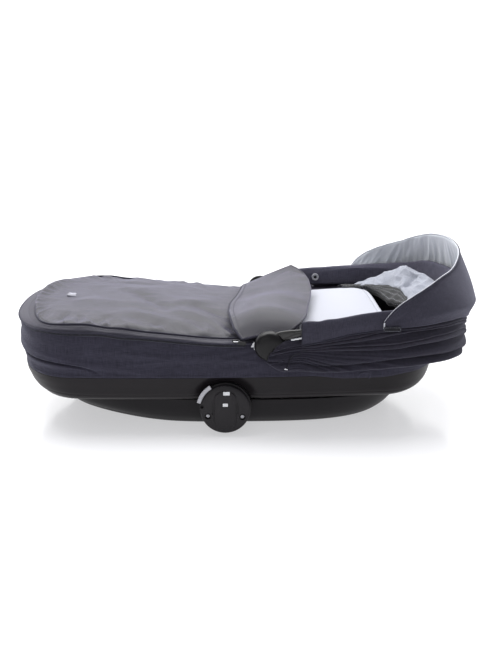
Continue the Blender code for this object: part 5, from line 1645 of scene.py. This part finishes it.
# ---- hinge caps and arms ---------------------------------------------------
for tag, s in (("left", -1), ("right", 1)):
    prof = [(0.0010, 0.2108), (0.0235, 0.2108), (0.0252, 0.2116), (0.0259, 0.2132), (0.0261, 0.2160), (0.0258, 0.2190),
            (0.0250, 0.2218), (0.0238, 0.2240), (0.0220, 0.2258), (0.0196, 0.2271), (0.0165, 0.2280), (0.0130, 0.2286),
            (0.0090, 0.2290), (0.0045, 0.2291), (0.0010, 0.2291)]
    cap = lathe(f"{tag}_hinge_boss", prof, M["cap"], PIVOT, s, seg=112)
    straps(cap, "hood_bow", "cap_plastic", f"{tag}_hinge_cap")
    # moulded arm from the boss to the bow
    keys = [(0.0250, 0.1745, 0.0060), (0.0400, 0.1800, 0.0074), (0.0500, 0.1830, 0.0076), (0.0645, 0.1852, 0.0074),
            (0.0780, 0.1868, 0.0066), (0.0880, 0.1885, 0.0056), (0.0960, 0.1896, 0.0050)]
    verts, n, rings_n = [], 20, 33
    for q in range(rings_n):
        x, z, h = catmull(keys, q / (rings_n - 1))
        for k in range(n):
            a = 2 * pi * k / n
            ca, sa = cos(a), sin(a)
            yy = 0.2168 + 0.0032 * math.copysign(abs(ca) ** 0.55, ca) * (1 - 0.25 * smoothstep(0.07, 0.095, x))
            verts.append((x, s * yy, z + h * math.copysign(abs(sa) ** 0.60, sa)))
    faces = [(q * n + k, q * n + (k + 1) % n, (q + 1) * n + (k + 1) % n, (q + 1) * n + k) for q in range(rings_n - 1) for k in range(n)]
    faces += [tuple(range(n)), tuple(range((rings_n - 1) * n, rings_n * n))]
    arm = obj_from(f"{tag}_hood_arm", verts, faces, [M["arm"]])
    bm = bmesh.new(); bm.from_mesh(arm.data); bmesh.ops.recalc_face_normals(bm, faces=bm.faces); bm.to_mesh(arm.data); bm.free()
    sharp(arm, 50)
    straps(arm, "hood_bow", "cap_plastic")
    # raised line along the arm
    ln = [(x, s * 0.2203, z + 0.0022) for x, z, h in [catmull(keys, 0.25 + 0.55 * q / 20) for q in range(21)]]
    o = tube(f"{tag}_arm_rib", ln, 0.0007, M["arm"], seg=8)
    straps(o, "hood_bow", "cap_plastic")
    # pale stiffener edge below the arm, and the bracket's corner beside the boss
    o = tube(f"{tag}_arm_liner", [(0.0676 + 0.0200 * q / 12, s * 0.2196, 0.1762 + 0.0036 * q / 12 + 0.0003 * sin(q * 1.7)) for q in range(13)],
             0.0016, M["pale"], seg=10)
    straps(o, "hood_bow", "pale_plastic")
    o = prism(f"{tag}_bracket_corner", [(-0.0006, 0.1608), (0.0070, 0.1608), (0.0064, 0.1690), (0.0052, 0.1698), (0.0040, 0.1688)],
              0.2086, 0.2104, M["pale"], s, bev=0.0004)
    straps(o, "root", "pale_plastic")
    # elastic loop that gathers the hood's corner, with a bound end
    pts = [(0.0830, 0.1540), (0.0750, 0.1524), (0.0695, 0.1485), (0.0656, 0.1425), (0.0635, 0.1360), (0.0618, 0.1320), (0.0590, 0.1268)]
    line = [catmull(pts, q / 40) for q in range(41)]
    o = tube(f"{tag}_hood_elastic", [(x, s * (0.2262 + 0.0006 * smoothstep(0.150, 0.125, z)), z) for x, z in line], 0.0009, M["webbing"], seg=8)
    straps(o, "root", "navy_fabric")
    x, z = line[-1]
    o = tube(f"{tag}_elastic_end", [(x - 0.0052 + 0.0080 * q / 6, s * 0.2272, z + 0.0012 - 0.0022 * q / 6) for q in range(7)],
             lambda t: 0.0013 * (0.8 + 0.4 * sin(pi * t)), M["chrome"], seg=10)
    straps(o, "root", "navy_fabric")

# small sewn loop above the hem
for tag, s in (("near", -1), ("far", 1)):
    pts = [(0.1838, 0.1060), (0.1852, 0.1112), (0.1884, 0.1150), (0.1960, 0.1163), (0.2030, 0.1158), (0.2052, 0.1112), (0.2028, 0.1058)]
    o = tube(f"wall_loop_{tag}", [(x, s * (0.2168 + 0.0008 * sin(pi * q / 40)), z) for q, (x, z) in
                                  [(q, catmull(pts, q / 40)) for q in range(41)]], 0.0014, M["wall"], seg=8)
    straps(o, "root", "navy_fabric")

# press stud on the band's inner face
sx, sy, sz = 0.1486, 0.2078, 0.1922
prof = [(0.0004, 0.0), (0.0012, 0.0), (0.0016, 0.0012), (0.0024, 0.0012), (0.0030, 0.0004), (0.0040, 0.0002), (0.0046, 0.0010),
        (0.0058, 0.0013), (0.0066, 0.0008), (0.0068, -0.0002), (0.0064, -0.0016), (0.0004, -0.0016)]
verts, faces, n = [], [], 48
for r, d in prof:
    for k in range(n):
        a = 2 * pi * k / n
        verts.append((sx + 1.12 * r * cos(a), sy - d + 0.0002, sz - 0.0030 + 1.12 * r * sin(a)))
for j in range(len(prof) - 1):
    faces += [(j * n + k, j * n + (k + 1) % n, (j + 1) * n + (k + 1) % n, (j + 1) * n + k) for k in range(n)]
faces += [tuple(range(n)), tuple(range((len(prof) - 1) * n, len(prof) * n))]
stud = obj_from("band_press_stud", verts, faces, [M["lever"], M["black"]])
for p in stud.data.polygons:
    c = p.center
    if math.hypot(c.x - sx, c.z - sz + 0.0030) < 0.0032:
        p.material_index = 1
bm = bmesh.new(); bm.from_mesh(stud.data); bmesh.ops.recalc_face_normals(bm, faces=bm.faces); bm.to_mesh(stud.data); bm.free()
sharp(stud, 40)
straps(stud, "hood_bow", "snap_metal", "band_snap")

# ---- mattress --------------------------------------------------------------
def pad_z(x):
    return 0.1770 + (x - 0.139) * tan(radians(4.2))


PN = 640
pad_loop = resample(plan(-0.375, 0.2525, -0.045, lf=0.11, lh=0.046, n=4.0), PN)
pad_keys = [(0.0100, -0.0340), (0.0040, -0.0325), (0.0012, -0.0285), (0.0000, -0.0220), (-0.0008, -0.0160), (0.0000, -0.0105),
            (0.0014, -0.0066), (0.0040, -0.0030), (0.0075, -0.0008), (0.0105, -0.0002)]
rows = []
for j in range(36):
    d, h = catmull(pad_keys, j / 35)
    rows.append([(x, y, pad_z(x) + h + 0.0005 * n3(x * 14, y * 14, h * 90, 1.0, 3.0)) for x, y in inset(pad_loop, d)])
# seam groove, then the crowned top
base = inset(pad_loop, 0.0105)
for d, h in ((0.0114, -0.0010), (0.0122, -0.0014), (0.0130, -0.0008), (0.0142, 0.0006)):
    rows.append([(x, y, pad_z(x) + h) for x, y in inset(pad_loop, d)])
inner = inset(pad_loop, 0.0142)
for k in range(1, 31):
    t = (k / 30) ** 1.15
    row = []
    for x, y in inner:
        xs = max(-0.24, min(0.15, x))
        px, py = lerp(x, xs, t), y * (1 - t)
        h = 0.0006 + 0.0084 * (1 - (1 - min(1, t * 1.25)) ** 2.4)
        h += smoothstep(0.03, 0.3, t) * (0.0012 * n3(px * 8, py * 8, 0, 1.0, 7.0) + 0.0006 * n3(px * 22, py * 16, 0, 1.0, 2.0))
        row.append((px, py, pad_z(px) + h))
    rows.append(row)
for i in range(PN):
    x, y, z = rows[-1][i]
    rows[-1][i] = (x, 0.0, pad_z(x) + 0.0090 + 0.0012 * n3(x * 8, 0, 0, 1.0, 7.0) + 0.0006 * n3(x * 22, 0, 0, 1.0, 2.0))
bottom = [(x * 0.9, y * 0.2, pad_z(x * 0.9) - 0.0340) for x, y in pad_loop]
rows.insert(0, bottom)
pad = grid("mattress_pad", rows, [M["mattress"]], closed=True)
for l in pad.data.loops:
    p = pad.data.vertices[l.vertex_index].co
    if l.vertex_index >= PN * 41:
        pad.data.uv_layers[0].data[l.index].uv = (p.x, p.y)
bm = bmesh.new(); bm.from_mesh(pad.data); bm.verts.ensure_lookup_table()
bm.faces.new([bm.verts[i] for i in range(PN)])
bmesh.ops.remove_doubles(bm, verts=[v for v in bm.verts if abs(v.co.y) < 1e-6], dist=3e-4)
bmesh.ops.recalc_face_normals(bm, faces=bm.faces); bm.to_mesh(pad.data); bm.free()
straps(pad, "root", "mattress_fabric", "mattress")
seam = [(x, y, pad_z(x) - 0.0006) for x, y in inset(pad_loop, 0.0122)]
o = tube("mattress_seam", seam, 0.0007, M["mattress"], seg=8, closed=True)
straps(o, "root", "mattress_fabric")


# ---- crumpled cloths at the head end ---------------------------------------
def patch(control, nu, nv):
    """Smooth surface through a net of control points."""
    rows = []
    for j in range(nv):
        cols = [catmull([control[r][c] for r in range(len(control))], j / (nv - 1)) for c in range(len(control[0]))]
        rows.append([catmull(cols, i / (nu - 1)) for i in range(nu)])
    return rows


liner_net = [
    [(0.202, 0.172, 0.176), (0.241, 0.172, 0.187), (0.271, 0.163, 0.204), (0.299, 0.142, 0.221), (0.323, 0.121, 0.233), (0.346, 0.087, 0.228), (0.372, 0.030, 0.214)],
    [(0.206, 0.150, 0.184), (0.241, 0.145, 0.191), (0.270, 0.130, 0.205), (0.295, 0.110, 0.220), (0.319, 0.095, 0.231), (0.338, 0.055, 0.224), (0.362, -0.010, 0.219)],
    [(0.208, 0.140, 0.187), (0.244, 0.130, 0.193), (0.271, 0.112, 0.201), (0.289, 0.092, 0.209), (0.312, 0.070, 0.217), (0.331, 0.010, 0.217), (0.348, -0.050, 0.214)],
    [(0.210, 0.132, 0.187), (0.247, 0.118, 0.193), (0.272, 0.100, 0.197), (0.289, 0.075, 0.201), (0.300, 0.050, 0.206), (0.304, -0.020, 0.203), (0.308, -0.080, 0.199)],
    [(0.213, 0.128, 0.184), (0.250, 0.112, 0.188), (0.276, 0.092, 0.190), (0.293, 0.066, 0.192), (0.304, 0.040, 0.196), (0.309, -0.026, 0.192), (0.314, -0.086, 0.188)]]
liner_net = [[(x, y, z - 0.0045 * smoothstep(0.215, 0.250, x) * (1 - smoothstep(0.345, 0.372, x))) for x, y, z in r] for r in liner_net]
rows = patch(liner_net, 190, 110)
for j, r in enumerate(rows):
    v = j / 109
    for i in range(190):
        x, y, z = r[i]
        u = i / 189
        k = smoothstep(0.0, 0.12, u)
        c1 = ridged(n3(x * 20 + y * 8, y * 16 - x * 12, z * 14, 1.0, 2.0), 2.6) - 0.35
        c2 = ridged(n3(x * 40, y * 34, z * 30, 1.0, 11.0), 2.4) - 0.35
        d = k * (0.0052 * c1 + 0.0022 * c2)
        # the bunch below the peak
        q, t = line_dist(x, y, (0.322, 0.105), (0.305, 0.045))
        d += 0.0060 * math.exp(-(q / 0.007) ** 2)
        q, t = line_dist(x, y, (0.334, 0.070), (0.312, 0.040))
        d -= 0.0070 * math.exp(-(q / 0.006) ** 2)
        r[i] = (x - 0.3 * d, y - 0.25 * d, z + d)
liner = grid("head_liner_cloth", rows, [M["grey_lining"]])
if sum(p.normal.z for p in liner.data.polygons) < 0:
    liner.data.flip_normals()
straps(liner, "root", "liner_fabric", "head_liner")
solidify(liner, 0.0009, 0)
mesh_net = [
    [(0.190, 0.158, 0.180), (0.231, 0.142, 0.187), (0.265, 0.120, 0.193), (0.293, 0.092, 0.197), (0.308, 0.045, 0.200), (0.309, -0.008, 0.197)],
    [(0.195, 0.148, 0.185), (0.232, 0.131, 0.190), (0.266, 0.106, 0.194), (0.289, 0.078, 0.198), (0.301, 0.034, 0.199), (0.303, -0.014, 0.198)],
    [(0.199, 0.135, 0.186), (0.234, 0.118, 0.190), (0.267, 0.085, 0.192), (0.283, 0.055, 0.193), (0.294, 0.015, 0.197), (0.298, -0.030, 0.197)],
    [(0.216, 0.124, 0.184), (0.245, 0.108, 0.187), (0.263, 0.074, 0.186), (0.270, 0.034, 0.185), (0.280, -0.003, 0.188), (0.292, -0.045, 0.196)],
    [(0.232, 0.118, 0.176), (0.254, 0.102, 0.177), (0.268, 0.068, 0.175), (0.275, 0.030, 0.174), (0.285, -0.006, 0.176), (0.297, -0.050, 0.184)]]
rows = patch(mesh_net, 150, 70)
for j, r in enumerate(rows):
    for i in range(150):
        x, y, z = r[i]
        d = 0.0026 * (ridged(n3(x * 26, y * 26, z * 18, 1.0, 6.0), 2.2) - 0.4) + 0.0010 * n3(x * 60, y * 60, 0, 1.0, 3.0)
        r[i] = (x, y, z + d * smoothstep(0.0, 0.2, j / 69))
mm, nt, b = new_mat("dotted_mesh_cloth")
vec = mapped(nt, "UV", (1, 1, 1))
vor = nt.nodes.new("ShaderNodeTexVoronoi")
vor.voronoi_dimensions = "2D"
vor.inputs["Scale"].default_value = 140.0
vor.inputs["Randomness"].default_value = 0.0
nt.links.new(vec, vor.inputs["Vector"])
dots = ramp(nt, vor.outputs["Distance"], [(0.0, srgb(150, 152, 158)), (0.12, srgb(128, 130, 136)), (0.16, srgb(12, 12, 15)), (1.0, srgb(10, 10, 13))])
nt.links.new(dots, b.inputs["Base Color"])
b.inputs["Roughness"].default_value = 0.85
b.inputs["Sheen Weight"].default_value = 0.1
holes = nt.nodes.new("ShaderNodeTexVoronoi")
holes.voronoi_dimensions = "2D"
holes.inputs["Scale"].default_value = 900.0
holes.inputs["Randomness"].default_value = 0.0
nt.links.new(vec, holes.inputs["Vector"])
bump(nt, holes.outputs["Distance"], b, 0.25, 0.0002)
net = grid("head_mesh_cloth", rows, [mm])
for l in net.data.loops:
    j, i = divmod(l.vertex_index, 150)
    net.data.uv_layers[0].data[l.index].uv = (0.215 * i / 149, 0.052 * j / 69)
if sum(p.normal.z for p in net.data.polygons) < 0:
    net.data.flip_normals()
straps(net, "root", "mesh_fabric", "mesh_panel")
solidify(net, 0.0006, 0)

# ---- finishes of the CAD parts that stay ------------------------------------
finish = {"mattress_board": "board", "board_support_head": "steel",
          "board_support_foot": "steel", "hood_rear_rib": "black", "hood_mid_rib": "black", "hood_bow": "arm"}
for tag in ("left", "right"):
    finish.update({f"{tag}_latch_bolt": "steel", f"{tag}_hinge_bracket": "pale", f"{tag}_hinge_pin": "steel"})
for name, key in finish.items():
    o = NODES[name]
    if not o.material_slots:
        o.data.materials.append(M[key])
    for sl in o.material_slots:
        sl.material = M[key]

# ---- floor, light and camera ----------------------------------------------
floor_m, nt, b = new_mat("studio_floor")
b.inputs["Roughness"].default_value = 0.16
b.inputs["Specular IOR Level"].default_value = 0.5
fl = noise_tex(nt, mapped(nt, "Object", (1, 1, 1)), 3.0, 2.0)
nt.links.new(ramp(nt, fl, [(0.3, (0.58, 0.58, 0.595)), (0.7, (0.60, 0.60, 0.615))]), b.inputs["Base Color"])
b.inputs["Emission Color"].default_value = (0.985, 0.985, 1.0, 1)
b.inputs["Emission Strength"].default_value = 0.505
floor = obj_from("studio_floor", [(-9, -9, -0.0006), (9, -9, -0.0006), (9, 4, -0.0006), (-9, 4, -0.0006)], [(0, 1, 2, 3)],
                 [floor_m], smooth=False)
back_m, nt, b = new_mat("studio_backdrop")
b.inputs["Base Color"].default_value = (0.9, 0.9, 0.9, 1)
b.inputs["Roughness"].default_value = 1.0
b.inputs["Emission Color"].default_value = (1, 1, 1, 1)
b.inputs["Emission Strength"].default_value = 1.0
arc = [(-9, 2.2, 0.0)] + [(0, 2.2 + 1.2 * sin(a), 1.2 - 1.2 * cos(a)) for a in [pi / 2 * k / 16 for k in range(1, 17)]] + [(0, 3.4, 5.0)]
verts = [(sx * 9.0, p[1], p[2] - 0.0004) for p in arc for sx in (-1, 1)]
backdrop = obj_from("studio_backdrop", verts, [(2 * i, 2 * i + 1, 2 * i + 3, 2 * i + 2) for i in range(len(arc) - 1)], [back_m])

world = D.worlds.new("studio")
scene.world = world
world.use_nodes = True
bg = world.node_tree.nodes["Background"]
bg.inputs[0].default_value = (0.96, 0.97, 1.0, 1)
bg.inputs[1].default_value = 0.40


def area(name, loc, target, size, power, size_y=None):
    l = D.lights.new(name, "AREA")
    l.energy, l.size = power, size
    if size_y:
        l.shape, l.size_y = "RECTANGLE", size_y
    o = D.objects.new(name, l)
    scene.collection.objects.link(o)
    o.location = loc
    o.rotation_euler = (Vector(target) - Vector(loc)).to_track_quat("-Z", "Y").to_euler()
    return o


area("top_softbox", (-0.10, 0.45, 1.9), (0, 0, 0.1), 2.4, 62, 1.5)
area("front_fill", (-0.9, -2.6, 1.0), (0, 0, 0.1), 1.6, 5, 0.9)

cam_d = D.cameras.new("camera")
cam_d.lens, cam_d.sensor_width, cam_d.sensor_fit = 51.86, 36, "AUTO"
cam = D.objects.new("camera", cam_d)
scene.collection.objects.link(cam)
el, az = radians(16.0), radians(-1.5)
target = Vector((0, 0, 0.128))
cam.location = target + 1.85 * Vector((sin(az) * cos(el), -cos(az) * cos(el), sin(el)))
cam.rotation_euler = (target - cam.location).to_track_quat("-Z", "Y").to_euler()
scene.camera = cam
scene.view_settings.view_transform = "Standard"

bpy.context.view_layer.update()
